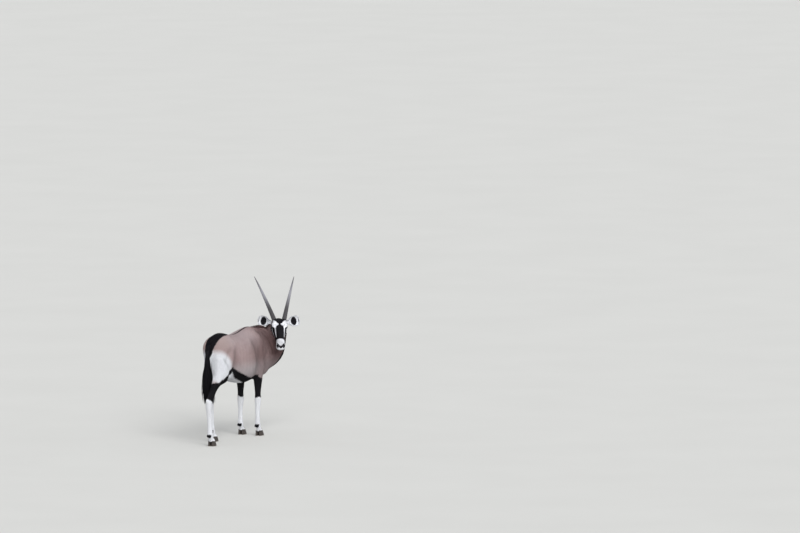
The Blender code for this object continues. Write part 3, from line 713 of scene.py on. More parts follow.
def back_line(x, side, z, up):
    """The black line down the back, wide over the rump to the root of the tail."""
    width = along(x, (-0.6, -0.5, -0.4, -0.3, -0.22, -0.17, -0.12, 0.0, 0.2, 0.45),
                  (0.048, 0.06, 0.068, 0.068, 0.058, 0.036, 0.014, 0.009, 0.01, 0.012))
    width = width * (0.35 + 0.65 * ramp(z, 0.92, 1.01))
    on_top = highest((up - 0.25) * 0.1, lowest(z - 0.9, -0.4 - x))
    return lowest(width - side, on_top)


def flank_line(x, z, flat):
    """The black band between the flank and the white belly, from groin to elbow."""
    middle = along(x, (-0.3, -0.25, -0.18, -0.1, 0.0, 0.1, 0.2, 0.3),
                   (0.8, 0.785, 0.748, 0.71, 0.675, 0.645, 0.633, 0.645))
    half = along(x, (-0.3, -0.22, -0.1, 0.0, 0.1, 0.3), (0.01, 0.026, 0.034, 0.032, 0.03, 0.034))
    return lowest(half - np.abs(z - middle), x + 0.3, 0.34 - x, flat * 0.2 + 0.05), middle


def hind_marks(points, side):
    """Black gaskin with the line that climbs the front of the thigh, and the pale thigh."""
    back = set_back(side)
    x, y, z = points.T
    this_side = side * (y - sway(x)) + 0.01
    climb = ((-0.262, 0.792), (-0.33 - 0.3 * back, 0.738), (-0.44 - 0.5 * back, 0.664))
    line = 0.026 - line_distance(points[:, [0, 2]], climb)
    top = 0.69 + 0.1 * (x + 0.5 + 0.6 * back) + 0.01 * np.sin(x * 55 + y * 60)
    low = 0.505 + 0.02 * np.sin(x * 30 + 1)
    gaskin = lowest(top - z, z - low, -0.27 - x - 0.9 * np.maximum(0.0, z - 0.62))
    black = lowest(highest(line, gaskin), this_side)
    reach = np.hypot((x + 0.53 + 0.5 * (z - 0.85)) / 0.245, (z - 0.79) / 0.245)
    return black, ramp(1.17 - reach, 0.0, 0.48) * ramp(-0.22 - x, 0.0, 0.1) * (this_side > 0)


def foot_marks(points, shin_x, heel_x, leg_y, high):
    """The dark patch down the front of one cannon, and those round its pastern."""
    x, y, z = points.T
    aside, low = np.abs(y - leg_y), 0.15
    taper = np.sqrt(np.clip(4 * (z - low) * (high - z) / (high - low) ** 2, 0.0, 1.0))
    front = 0.019 * taper - 0.001 - aside + 0.9 * np.minimum(0.0, x - shin_x)
    cannon = lowest(front, z - low, high - z, 0.05 - np.abs(x - shin_x))
    pastern = lowest(0.108 - z, 0.024 - aside, x - heel_x - 0.016, 0.09 - np.abs(x - heel_x))
    claws = lowest(0.02 - np.abs(z - 0.11), heel_x - 0.016 - x, 0.06 - np.abs(x - heel_x))
    return highest(cannon, pastern, claws)


def leg_marks(points):
    """Black forearms and dark patches below, and the white lower legs."""
    x, y, z = points.T
    fore = (x > 0.15) & (x < 0.62)
    top = 0.655 - 0.3 * (x - FORE_X + 0.03) + 0.008 * np.sin(y * 90)
    forearm = lowest(top - z, z - 0.428 - 0.012 * np.sin(y * 70 + x * 50))
    marks = [np.full(len(points), -0.1), np.where(fore, forearm, -0.1)]
    for side in SIDES:
        hock_x, hock_y = hock(side)
        marks.append(foot_marks(points, FORE_X + 0.016, FORE_X, side * STANCE_Y, 0.35))
        marks.append(foot_marks(points, hock_x + 0.022, hock_x + 0.01, hock_y, 0.33))
    return highest(*marks), np.where(fore, 0.43 - z, 0.52 - z)


def nose_marks(x, wide, z):
    """The black V between the nostrils, the nostrils' hollows and the line of the lips."""
    drop = 0.743 * x - 0.669 * z
    across = (0.0, 0.012, 0.026, 0.038)
    upper = along(wide, across, (0.338, 0.331, 0.316, 0.308))
    lower = along(wide, across, (0.366, 0.361, 0.347, 0.332))
    nose = lowest(drop - upper, lower - drop, 0.041 - wide, x - 0.37)
    lips = lowest(0.003 - np.abs(z + 0.089 + MOUTH_DROP * (1 - x / MOUTH[-1][0])), x - 0.345)
    slit = ((0.406, 0.041, -0.045), (0.426, 0.0325, -0.058))
    holes = 0.0092 - line_distance(np.stack((x, wide, z), 1), slit)
    grey = 0.5 * ramp(drop, 0.318, 0.334) * ramp(0.345 - drop, 0.0, 0.01)
    grey *= ramp(0.028 - wide, -0.004, 0.014) * (x > 0.33)
    return highest(nose, lips, holes), grey


def face_marks(points):
    """The mask: black crown, blaze, cheek stripes, chin band and nose, on white."""
    x, y, z = head_places(points).T
    wide = np.abs(y)
    crown_width = along(x, (-0.02, 0.04, 0.082, 0.106, 0.13, 0.152),
                        (0.034, 0.064, 0.068, 0.038, 0.012, 0.006))
    crown = lowest(x + 0.02, 0.152 - x, crown_width - wide, z + 0.115)
    blaze_width = along(x, (0.14, 0.156, 0.175, 0.24, 0.29, 0.33),
                        (0.008, 0.036, 0.044, 0.042, 0.04, 0.044))
    blaze = lowest(blaze_width - wide, x - 0.14, 0.322 - x, z + 0.075)
    middle = along(x, (0.03, 0.09, 0.14, 0.19, 0.25, 0.31, 0.36),
                   (-0.05, -0.04, -0.048, -0.058, -0.074, -0.09, -0.1))
    half = along(x, (0.04, 0.1, 0.14, 0.2, 0.25, 0.29, 0.33),
                 (0.014, 0.02, 0.023, 0.021, 0.021, 0.032, 0.026))
    chin = z + 0.119 - 34 * (x - 0.298) ** 2
    stripe = lowest(half - np.abs(z - middle), x - 0.05, 0.322 - x, wide - 0.03,
                    np.where(x > 0.27, chin, 1.0))
    band = lowest(x - 0.294 - 0.2 * (0.03 + z), 0.325 - x, chin)
    nose, grey = nose_marks(x, wide, z)
    white = x - 0.055 - 0.25 * (wide - 0.05) - 0.3 * np.minimum(0.0, z + 0.1)
    return highest(crown, blaze, stripe, band, nose), white, grey


def jaw_strap(points, near):
    """The black strap from behind each ear down the back of the cheek, along the seam."""
    x, _, z = head_places(points).T
    return lowest(0.014 - near, -0.066 - z, 0.128 - x)


def neck_marks(points):
    """The black crest, and the throat's black line, which slips round as the neck turns."""
    place, centres, _, ups, sides = nearest_on_neck(points)
    offset = points - centres
    across, above = (offset * sides).sum(1), (offset * ups).sum(1)
    crest = lowest(0.014 - np.abs(across), above * 0.5 - 0.02)
    slip = along(place, (0.2, 0.4, 0.5, 0.58, 0.67, 0.75, 0.85),
                 (0.0, -0.03, -0.056, -0.06, -0.044, -0.016, -0.01))
    half = along(place, (0.1, 0.5, 0.8, 1.0), (0.034, 0.024, 0.024, 0.04))
    half = half * (0.2 + 0.8 * ramp(points[:, 2], 0.68, 0.82))
    return highest(crest, lowest(half - np.abs(across - slip), -0.5 * above - 0.012))


def trunk_marks(points, normals):
    """Black along crest, throat, back, brisket and flank, and the white belly."""
    x, y, z = points.T
    side, up = np.abs(y - sway(x)), normals[:, 2]
    black = np.where(past_shoulder(points) > 0, neck_marks(points), back_line(x, side, z, up))
    brisket = lowest(0.03 - side, x - 0.36, 0.58 - x, 0.74 - z, -up * 0.1)
    flank, middle = flank_line(x, z, np.abs(normals[:, 1]))
    groin = lowest(0.085 - side, 0.8 - z, -0.25 - x)
    return highest(black, flank, brisket), highest(lowest(middle - z, x + 0.42, 0.3 - x), groin)


def coat_shades(points):
    """Shares of russet on neck and shoulder, partly painted shade; of orange on the rump; and of pale low
    on the body, partly painted light, and along the top of the back, which is painted light.
    """
    x, y, z = points.T
    ahead = past_shoulder(points)
    # russet on neck and shoulder: partly the coat's own reddish brown, partly painted shade where they turn
    # from the light, with less of it towards the top
    shoulder = 0.66 * ramp(x, -0.16, 0.34) * ramp(1.2 - z, 0.0, 0.24)
    red = highest((0.95 - 0.32 * ramp(z, 1.0, 1.2)) * ramp(ahead, -0.18, 0.14), shoulder)
    near_middle = ramp(0.2 - np.abs(y - sway(x)), 0.0, 0.12)
    orange = near_middle * ramp(-x, 0.2, 0.42) * ramp(z, 0.93, 1.04)
    # pale low on the flank: partly the coat's own paler tone, partly painted light that lifts the shade
    # under the body
    pale = 0.4 * ramp(0.9 - z, 0.0, 0.16) * (1 - 0.65 * ramp(x, 0.1, 0.42))
    # painted light: the top of the back behind the neck is paled where light falls from above
    pale += 0.17 * ramp(z, 0.92, 1.16) * ramp(-ahead, 0.0, 0.3)
    return red, orange, pale


def markings(points, normals, face, near):
    """Signed fields of black and white, shares of the coat's shades, and painted shade along the creases,
    for each point.
    """
    black, white = trunk_marks(points, normals)
    red, orange, pale = coat_shades(points)
    for side in SIDES:
        thigh_black, thigh_pale = hind_marks(points, side)
        black, pale = highest(black, thigh_black), highest(pale, thigh_pale)
    low_black, low_white = leg_marks(points)
    leg = points[:, 2] < LEG_TOP
    black = np.where(leg, highest(black, low_black), black)
    white = np.where(leg, highest(white, low_white), white)
    face_black, face_white, nose_grey = face_marks(points)
    return {
        "black": highest(np.where(face, face_black, black), jaw_strap(points, near)),
        "white": np.where(face, lowest(face_white, near - 0.016), white),
        "red": np.clip(np.where(face, 0.9, red), 0, 1),
        "grey": np.where(face, nose_grey, 0.0),
        "orange": np.where(face, 0.0, orange),
        "pale": np.where(face, 0.0, pale),
        # painted shade: the coat is darkened along the creases, as deep as they are
        "crease_shade": np.clip(fold_depth(points) / 0.008, 0.0, 1.0),
        "edge": np.where(face, FACE_EDGE, BODY_EDGE),
    }


# Hair, as closed tapered strands

def strand_mesh(name, paths, sides, widths, heights):
    """Strands along paths (count, steps, 3), each a flat three-sided taper to a point."""
    count, steps = paths.shape[:2]
    ahead = np.gradient(paths, axis=1)
    tops = np.cross(ahead, sides[:, None])
    tops /= np.linalg.norm(tops, axis=2, keepdims=True) + 1e-12
    rings = []
    for k in range(steps - 1):
        across = sides * widths[:, k, None]
        rise = tops[:, k] * heights[:, k, None]
        rings += [paths[:, k] - across, paths[:, k] + across, paths[:, k] + rise]
    rings.append(paths[:, -1])
    points = np.stack(rings, axis=1)
    each = 3 * (steps - 1) + 1
    faces = [(0, 1, 2)]
    for k in range(steps - 2):
        for i in range(3):
            a, b = 3 * k + i, 3 * k + (i + 1) % 3
            faces += [(a, a + 3, b), (b, a + 3, b + 3)]
    last = 3 * (steps - 2)
    faces += [(last + i, each - 1, last + (i + 1) % 3) for i in range(3)]
    faces = np.array(faces)
    corners = (faces[None] + (np.arange(count) * each)[:, None, None]).reshape(-1)
    mesh = bpy.data.meshes.new(name)
    mesh.vertices.add(count * each)
    mesh.vertices.foreach_set("co", points.reshape(-1).astype(np.float32))
    mesh.loops.add(len(corners))
    mesh.loops.foreach_set("vertex_index", corners.astype(np.int32))
    mesh.polygons.add(len(corners) // 3)
    mesh.polygons.foreach_set("loop_start", np.arange(0, len(corners), 3, dtype=np.int32))
    mesh.update(calc_edges=True)
    return remember(bpy.data.objects.new(name, mesh)), faces, each


def give_values(item, values, each=1):
    """Float attributes on the mesh, each value repeated for the points of its strand."""
    for name, value in values.items():
        made = item.data.attributes.new(name, "FLOAT", "POINT")
        made.data.foreach_set("value", np.repeat(value, each).astype(np.float32))


class RootMap:
    """An unwrap of a coarse copy of a skin, which gives every root its place on a map."""

    def __init__(self, skin, faces=5000):
        coarse = remember(bpy.data.objects.new("coarse", skin.data.copy()))
        step = coarse.modifiers.new("thin", "DECIMATE")
        step.ratio = min(1.0, faces / (1.6 * len(coarse.data.polygons)))
        apply_modifiers(coarse)
        bpy.context.view_layer.objects.active = coarse
        coarse.select_set(True)
        bpy.ops.object.mode_set(mode="EDIT")
        bpy.ops.mesh.select_all(action="SELECT")
        bpy.ops.mesh.quads_convert_to_tris()
        bpy.ops.uv.smart_project(angle_limit=math.radians(66), island_margin=0.004)
        bpy.ops.object.mode_set(mode="OBJECT")
        self.corners = read(coarse.data.uv_layers.active.data, "uv", 2).reshape(-1, 3, 2)
        index = read(coarse.data.loops, "vertex_index", 1, np.int32)
        self.triangles = points_of(coarse)[index.reshape(-1, 3)]
        self.tree = tree_of(coarse)
        bpy.data.objects.remove(coarse)

    def places(self, roots):
        found = [self.tree.find_nearest(Vector(p)) for p in roots]
        face = np.array([hit[2] for hit in found])
        spot = np.array([hit[0] for hit in found])
        a, b, c = np.moveaxis(self.triangles[face], 1, 0)
        whole = np.cross(b - a, c - a)
        area = (whole ** 2).sum(1) + 1e-20
        weight_b = (np.cross(spot - a, c - a) * whole).sum(1) / area
        weight_c = (np.cross(b - a, spot - a) * whole).sum(1) / area
        weights = np.stack([1 - weight_b - weight_c, weight_b, weight_c], 1)
        return (self.corners[face] * weights[:, :, None]).sum(1)


def map_roots(item, root_map, roots, faces, each):
    """The map OFBake: every strand is a small patch at its root's place."""
    patch = np.zeros((each, 2))
    patch[1::3] = (0.003, 0.0)
    patch[2::3] = (0.0015, 0.003)
    patch[-1] = (0.0015, 0.0012)
    places = root_map.places(roots)[:, None, None] + patch[faces][None]
    layer = item.data.uv_layers.new(name="OFBake")
    layer.data.foreach_set("uv", places.reshape(-1).astype(np.float32))


def spread_roots(skin, share, wanted):
    """Random places on the skin, denser where share is larger, with their normals."""
    mesh = skin.data
    mesh.calc_loop_triangles()
    corners = read(mesh.loop_triangles, "vertices", 3, np.int32)
    points, normals = points_of(skin), normals_of(skin)
    a, b, c = points[corners[:, 0]], points[corners[:, 1]], points[corners[:, 2]]
    area = np.linalg.norm(np.cross(b - a, c - a), axis=1) / 2
    odds = area * share[corners].mean(1)
    face = rng.choice(len(corners), wanted, p=odds / odds.sum())
    u, v = rng.random(wanted), rng.random(wanted)
    over = u + v > 1
    u[over], v[over] = 1 - u[over], 1 - v[over]
    weights = np.stack([1 - u - v, u, v], 1)
    roots = (points[corners[face]] * weights[:, :, None]).sum(1)
    facing = (normals[corners[face]] * weights[:, :, None]).sum(1)
    return roots, facing / np.linalg.norm(facing, axis=1, keepdims=True), corners[face], weights


def unit(vectors):
    return vectors / (np.linalg.norm(vectors, axis=-1, keepdims=True) + 1e-12)


def lie_of(points, normals, at_face):
    """The way the hair lies: back along the body, down the legs, up the face."""
    z = points[:, 2]
    flow = np.tile((-1.0, 0.0, -0.3), (len(points), 1))
    flow[:, 2] -= 0.9 * ramp(0.95 - z, 0.0, 0.25)
    ways = nearest_on_neck(points)[2]
    on_neck = ramp(past_shoulder(points), -0.1, 0.15)[:, None]
    flow = unit(flow) * (1 - on_neck) + (-ways + np.array((0, 0, -0.25))) * on_neck
    leg = ramp(0.7 - z, 0.0, 0.12)[:, None]
    flow = flow * (1 - leg) + np.array((-0.15, 0.0, -1.0)) * leg
    face_way = np.array(HEAD_TURN @ Vector((-1.0, 0.0, -0.15)))
    flow = np.where(at_face[:, None], face_way, flow)
    return unit(flow - normals * (flow * normals).sum(1)[:, None])


def tufts(name, roots, facing, ahead, reach, lift, root_map, values):
    """Short thin tufts that rise a little from their roots and lie along ahead."""
    tip = roots + ahead * reach[:, None] + facing * lift[:, None]
    paths = np.stack([roots - facing * ROOT_DEPTH, tip], 1)
    widths = (reach * TUFT_SLENDERNESS + 0.00025)[:, None]
    item, faces, each = strand_mesh(name, paths, np.cross(facing, ahead), widths, widths * TUFT_FLATNESS)
    give_values(item, values, each)
    map_roots(item, root_map, roots, faces, each)
    return item


def bare_places(points, face):
    """Where no hair grows: the nose pad and the openings of the eyes."""
    local = head_places(points)
    bare = face & (local[:, 0] > 0.404) & (local[:, 2] < -0.045) & (local[:, 2] > -0.088)
    for side in SIDES:
        opening = np.array((EYE_AT[0] + 0.002, side * 0.085, EYE_AT[2]))
        bare |= (((local - opening) / (0.0225, 0.02, 0.0135)) ** 2).sum(1) < 1
    return bare


def coat_parts(roots, at_face):
    """Which roots belong to each piece of the coat."""
    on_neck = ~at_face & (past_shoulder(roots) > 0)
    low = ~at_face & ~on_neck & (roots[:, 2] < LEG_TOP)
    high = ~at_face & ~on_neck & ~low
    front = roots[:, 0] > -0.1
    left = np.where(at_face, head_places(roots)[:, 1], roots[:, 1] - sway(roots[:, 0])) > 0
    parts = {"head": at_face, "neck": on_neck, "leg": low, "flank": high & front, "rump": high & ~front}
    halves = {"left": left, "right": ~left}
    return {f"coat_{part}_{half}": chosen & here
            for part, chosen in parts.items() for half, here in halves.items()}


def short_coat(skin, from_face, near, root_map):
    """Short tufts over the whole hide, lying back along it, smallest on face and feet."""
    points = points_of(skin)
    face = from_face < ON_FACE
    share = np.where(face, 4.0, 1.0 + 0.8 * ramp(0.55 - points[:, 2], 0.0, 0.15))
    share[bare_places(points, face)] = 0.0
    roots, facing, corners, weights = spread_roots(skin, share, COAT_TUFTS)
    at_face = (from_face[corners] * weights).sum(1) < ON_FACE
    ahead = lie_of(roots, facing, at_face)
    turn = rng.normal(0.0, 0.16, len(roots))[:, None]
    ahead = unit(ahead * np.cos(turn) + np.cross(facing, ahead) * np.sin(turn))
    face_reach = along(head_places(roots)[:, 0], (0.0, 0.1, 0.3, 0.42), (0.012, 0.008, 0.006, 0.004))
    reach = np.where(at_face, face_reach, 0.009 + 0.008 * ramp(roots[:, 2], 0.35, 0.75))
    reach = reach * rng.uniform(0.7, 1.3, len(roots))
    lift = np.where(at_face, 0.09, 0.13) * rng.uniform(0.4, 1.5, len(roots)) * reach
    values = markings(roots, facing, at_face, (near[corners] * weights).sum(1))
    values["tone"] = rng.normal(0.0, 1.0, len(roots))
    made = []
    for name, this in coat_parts(roots, at_face).items():
        some = {key: value[this] for key, value in values.items()}
        made.append(tufts(name, roots[this], facing[this], ahead[this], reach[this], lift[this],
                          root_map, some))
    return made


def hair(name, roots, starts, falls, lengths, widths, steps, bend, root_map, values):
    """Long locks that leave along starts and turn towards falls."""
    heading = unit(starts)
    here = roots.copy()
    path = [here]
    for _ in range(steps - 1):
        here = here + heading * (lengths / (steps - 1))[:, None]
        path.append(here)
        heading = unit(heading + (falls - heading) * bend)
    sides = unit(np.cross(starts + falls * 0.3, rng.normal(size=(len(roots), 3))))
    taper = 1 - np.linspace(0, 1, steps)[:-1] ** 1.8 * 0.75
    taper[0] = 0.8
    broad = widths[:, None] * taper
    item, faces, each = strand_mesh(name, np.stack(path, 1), sides, broad, broad * LOCK_FLATNESS)
    give_values(item, values, each)
    map_roots(item, root_map, roots, faces, each)
    return item


def even_values(count, black=-0.05, white=-0.05, red=0.0, edge=0.004):
    """The same markings for a whole piece, or those given for each of its points."""
    values = {name: np.zeros(count) for name in ("grey", "orange", "pale", "crease_shade")}
    for name, value in (("black", black), ("white", white), ("red", red), ("edge", edge)):
        values[name] = np.zeros(count) + value
    values["tone"] = rng.normal(0.0, 1.0, count)
    return values


def mane(root_map):
    """Upright hair along the crest, black in the middle and reddish beside it."""
    roots, starts, falls, shares = [], [], [], []
    rows = neck_rows(12)
    first, last = int(0.08 * len(rows)), int(0.9 * len(rows))
    spots = rng.uniform(first, last, MANE_LOCKS)
    for spot in spots:
        at, ahead, up, side, half_width, depth = rows[int(spot)]
        at = at + ahead * rng.uniform(-0.004, 0.004)
        share = float(np.clip(rng.normal(0.0, 0.5), -1.2, 1.2))
        angle = share * MANE_HALF_WIDTH / half_width
        out = (up * math.cos(angle) + side * math.sin(angle)).normalized()
        roots.append(at + out * (depth * math.cos(angle) - 0.01))
        lean = side * (share * 0.25 + rng.normal(0.0, 0.14))
        starts.append(out + lean - ahead * 0.45)
        falls.append(out * 0.4 - ahead * 0.92 + lean)
        shares.append(share)
    roots, starts, falls = np.array(roots), np.array(starts), np.array(falls)
    values = even_values(MANE_LOCKS, red=0.9)
    values["black"] = 0.005 - np.abs(np.array(shares)) * MANE_HALF_WIDTH
    place = (spots - first) / (last - first)
    ends = ramp(place, 0.0, 0.22) * ramp(1 - place, 0.0, 0.12)
    lengths = rng.uniform(0.026, 0.042, MANE_LOCKS) * (0.35 + 0.65 * ends)
    widths = rng.uniform(0.0012, 0.0022, MANE_LOCKS)
    return hair("mane", roots, starts, falls, lengths, widths, 5, 0.3, root_map, values)


TAIL_CORE = (  # x from the root, share of the tip's sway, depth below the root, radii
    (0.055, 0.0, 0.0, 0.024, 0.024),
    (0.01, 0.0, 0.012, 0.028, 0.026),
    (-0.022, 0.0, 0.055, 0.02, 0.02),
    (-0.032, 0.0, 0.12, 0.016, 0.016),
    (-0.036, 0.2, 0.2, 0.016, 0.017),
    (-0.036, 0.6, 0.3, 0.014, 0.015),
    (-0.034, 1.0, 0.42, 0.009, 0.009),
)


def tail_core():
    x, y, z = TAIL_ROOT
    return limb("tail_core", [(x + ahead, y + TAIL_SWAY * share, z - below, length, width)
                              for ahead, share, below, length, width in TAIL_CORE], 6)


def tail_roots(share, out):
    """Where the tail's locks grow: within its core, from the dock to the tip."""
    x, y, z = TAIL_ROOT
    height = z + 0.012 - 0.432 * share
    below = z - height
    middle_x = x + along(below, (-0.012, 0.012, 0.055, 0.12, 0.2, 0.42),
                         (0.024, 0.006, -0.022, -0.032, -0.036, -0.036))
    middle_y = along(below, (0.0, 0.1, 0.2, 0.3, 0.42), y + TAIL_SWAY * np.array((0, 0, 0.2, 0.6, 1)))
    radius = along(share, (0.0, 0.08, 0.35, 0.7, 1.0), (0.022, 0.024, 0.015, 0.013, 0.008))
    depth = (radius * rng.uniform(0.6, 1.0, TAIL_LOCKS))[:, None]
    return np.stack([middle_x, middle_y, height], 1) + out * depth


def tail_hair(root_map):
    """The tail's black hair: short and close on the dock, long and full below."""
    share = rng.random(TAIL_LOCKS) ** 1.1
    angle = rng.uniform(0, 2 * math.pi, TAIL_LOCKS)
    out = np.stack([np.cos(angle), np.sin(angle), np.zeros(TAIL_LOCKS)], 1)
    roots = tail_roots(share, out)
    reach = along(share, (0.0, 0.12, 0.22, 0.4, 1.0), (0.035, 0.05, 0.14, 0.26, 0.3))
    reach = reach * rng.uniform(0.75, 1.1, TAIL_LOCKS)
    to_tip = roots[:, 2] - TAIL_TIP_Z - rng.random(TAIL_LOCKS) ** 2 * 0.05
    reach = np.minimum(reach, to_tip)
    spread = (0.14 + 0.52 * ramp(share, 0.1, 0.6))[:, None] * rng.uniform(0.3, 1.0, (TAIL_LOCKS, 1))
    starts = out * spread + np.array((0.0, 0.0, -1.0))
    over = (share < 0.07)[:, None]
    roots = roots + over * np.array((0.0, 0.0, 0.012))
    starts = np.where(over, out * 0.3 + np.array((-0.9, 0.0, -0.35)), starts)
    drift = rng.normal(0.0, 0.05, (TAIL_LOCKS, 3))
    falls = unit(np.array((0.03, -0.05, -1.0)) - out * (0.06 + 0.1 * share)[:, None] + drift)
    widths = rng.uniform(0.0012, 0.0028, TAIL_LOCKS) * (1 + 0.7 * (share < 0.14))
    values = even_values(TAIL_LOCKS, black=ALL_BLACK)
    return hair("tail_hair", roots, starts, falls, reach, widths, 7, 0.3, root_map, values)


# Ears, horns, eyes and hooves

EAR = (  # share of the length, half width, cup depth, thickness
    (0.0, 0.017, 0.004, 0.016),
    (0.14, 0.018, 0.008, 0.013),
    (0.27, 0.027, 0.016, 0.009),
    (0.42, 0.046, 0.027, 0.007),
    (0.62, 0.057, 0.029, 0.006),
    (0.8, 0.054, 0.023, 0.005),
    (0.93, 0.038, 0.013, 0.004),
    (1.0, 0.014, 0.003, 0.0035),
)


def ear_axes(side):
    """The ear's root and its ways: out to the tip, across it and towards its hollow."""
    out = Vector((-0.16, side * 0.95, 0.05)).normalized()
    face = Vector((0.64, side * 0.25, 0.77))
    face = (face - out * face.dot(out)).normalized()
    return Vector((0.036, side * 0.064, -0.088)), out, out.cross(face), face


def ear(side):
    """A broad rounded cup on a short stalk, with its places kept for the markings."""
    root, out, across, face = ear_axes(side)
    rings, shares, spreads, hollows = [], [], [], []
    for share, half_width, cup, thick in smooth_values(EAR, 6):
        centre = root + out * (share * EAR_LENGTH)
        outer, inner = [], []
        for i in range(EAR_COLUMNS):
            a = -1 + 2 * i / (EAR_COLUMNS - 1)
            wave = 0.0012 * math.cos(a * 16) * (1 - a * a) * math.sin(share * math.pi)
            hollow = cup * (a * a - 1) + wave
            outer.append(centre + across * (half_width * a) + face * (hollow - thick * (1 - 0.7 * a * a)))
            inner.append(centre + across * (half_width * a * 0.985) + face * (hollow + thick * 0.15))
            spreads.append(a)
        spreads += spreads[-EAR_COLUMNS:][::-1]
        hollows += [0.0] * EAR_COLUMNS + [1.0] * EAR_COLUMNS
        shares += [share] * (2 * EAR_COLUMNS)
        rings.append([HEAD @ p for p in outer + inner[::-1]])
    made = loft("ear_cup_" + side_name(side), rings)
    places = [np.array(v + [v[0], v[-1]]) for v in (shares, spreads, hollows)]
    black, white = ear_marks(*places)
    give_values(made, even_values(len(black), black, white, edge=EAR_EDGE))
    return made, places


def ear_marks(share, spread, hollow):
    """Black hollow, white rim, and a thin dark edge outside towards the tip."""
    inside = 0.03 * (1 - ((share - 0.655) / 0.2) ** 2 - (np.abs(spread) / 0.82) ** 2.4)
    edge = lowest((np.abs(spread) - 0.86) * 0.03, (share - 0.45) * 0.1)
    tip = (share - 0.93) * 0.05
    rim = lowest((share - 0.975) * 0.08, share - 0.5)
    black = np.where(hollow > 0.5, highest(inside, rim), highest(edge, tip))
    white = np.where(hollow > 0.5, 0.02, -0.02)
    return black, white


def side_name(side):
    return "right" if side < 0 else "left"


def ear_ways(side):
    """The ways out along the ear, across it and towards its hollow, as the head stands."""
    return [np.array(HEAD_TURN @ way) for way in ear_axes(side)[1:]]


def ear_fur(cup, places, side, root_map):
    """Close fur on both faces of the ear."""
    out, across, _ = ear_ways(side)
    roots, facing, corners, weights = spread_roots(cup, np.ones(len(places[0])), EAR_TUFTS)
    share, spread, hollow = ((v[corners] * weights).sum(1) for v in places)
    black, white = ear_marks(share, spread, np.round(hollow))
    ahead = unit(out + across * (spread * 0.5)[:, None] - facing * (facing @ out)[:, None])
    ahead = unit(ahead - facing * (ahead * facing).sum(1)[:, None])
    reach = rng.uniform(0.006, 0.01, EAR_TUFTS) * (1.0 - 0.3 * share)
    values = even_values(EAR_TUFTS, black, white, edge=EAR_EDGE)
    name = "coat_ear_" + side_name(side)
    return tufts(name, roots, facing, ahead, reach, reach * 0.15, root_map, values)


def ear_fringe(side, root_map):
    """Longer pale hair round the rim of the ear."""
    rows = smooth_values(EAR, 12)
    rows = rows[rng.integers(int(0.16 * len(rows)), len(rows), EAR_FRINGE)]
    edge = rng.choice((-1.0, 1.0), EAR_FRINGE) * np.where(rows[:, 0] > 0.97, rng.random(EAR_FRINGE), 1.0)
    edge = edge * rng.uniform(0.86, 0.985, EAR_FRINGE)
    root, out, across, face = ear_axes(side)
    spots = []
    for (share, half_width, cup, thick), a in zip(rows, edge):
        place = root + out * (share * EAR_LENGTH) + across * (half_width * a)
        spots.append(HEAD @ (place + face * (cup * (a * a - 1) + thick * 0.1)))
    out, across, face = ear_ways(side)
    starts = out * 0.9 + across * (edge * 0.3)[:, None] + face * 0.45 + rng.normal(0, 0.15, (EAR_FRINGE, 3))
    falls = unit(out * 0.8 - across * (edge * 0.75)[:, None] + face * 0.15)
    values = even_values(EAR_FRINGE, white=0.03, edge=EAR_EDGE)
    lengths = rng.uniform(0.012, 0.024, EAR_FRINGE)
    widths = rng.uniform(0.0004, 0.0008, EAR_FRINGE)
    name = "fringe_ear_" + side_name(side)
    return hair(name, np.array(spots), unit(starts), falls, lengths, widths, 4, 0.35, root_map, values)


def horn_outline(t, step):
    """Angle, reach and ridge of each point round the horn at a share of its length."""
    radius = 0.0242 * (1 - t) ** 0.75 + 0.002 if t < 1 else 0.0012
    phase = (t / HORN_RINGED) ** 0.93 * HORN_RINGS
    fade = 1 - ramp(np.array(t), HORN_RINGED - 0.14, HORN_RINGED)
    shown = float(ramp(np.array(t), 0.012, 0.05) * fade)
    made = []
    for k in range(HORN_COLUMNS):
        angle = 2 * math.pi * k / HORN_COLUMNS
        waver = 0.1 * math.sin(angle * 2 + step * 0.013) + 0.05 * math.sin(angle * 3 + 1.0)
        ridge = (0.5 + 0.5 * math.cos(2 * math.pi * (phase + waver))) ** 0.8 * shown
        rough = 0.00018 * math.sin(angle * 9 + t * 50) + 0.00012 * math.sin(angle * 17 - t * 31)
        reach = radius * (1.0 - 0.03 * shown) + 0.0014 * ridge * (1 - 0.5 * t) + rough * (1 - t)
        made.append((angle, reach, ridge))
    return made


def horn(side):
    """A long, nearly straight horn: strong rings below, smooth and slender above."""
    lean, spread = math.radians(HORN_LEAN), math.radians(HORN_SPREAD)
    point = Vector((0.098, side * 0.044, -0.022))
    rings, shares, ridges = [], [], []
    for i in range(HORN_STEPS + 1):
        t = i / HORN_STEPS
        bend = lean + math.radians(HORN_BEND) * (t - 0.5)
        ahead = Vector((-math.cos(bend) * math.cos(spread), side * math.sin(spread), -math.sin(bend)))
        ahead.normalize()
        across = (Vector((0, 1, 0)) - ahead * ahead.y).normalized()
        up = ahead.cross(across)
        ring = []
        for angle, reach, ridge in horn_outline(t, i):
            ring.append(HEAD @ (point + (across * math.cos(angle) + up * math.sin(angle)) * reach))
            ridges.append(ridge)
            shares.append(t)
        rings.append(ring)
        point = point + ahead * (HORN_LENGTH / HORN_STEPS)
    made = loft("horn_ringed_" + side_name(side), rings)
    give_values(made, {"share": np.array(shares + [0.0, 1.0]), "ridge": np.array(ridges + [0.0, 0.0])})
    return made


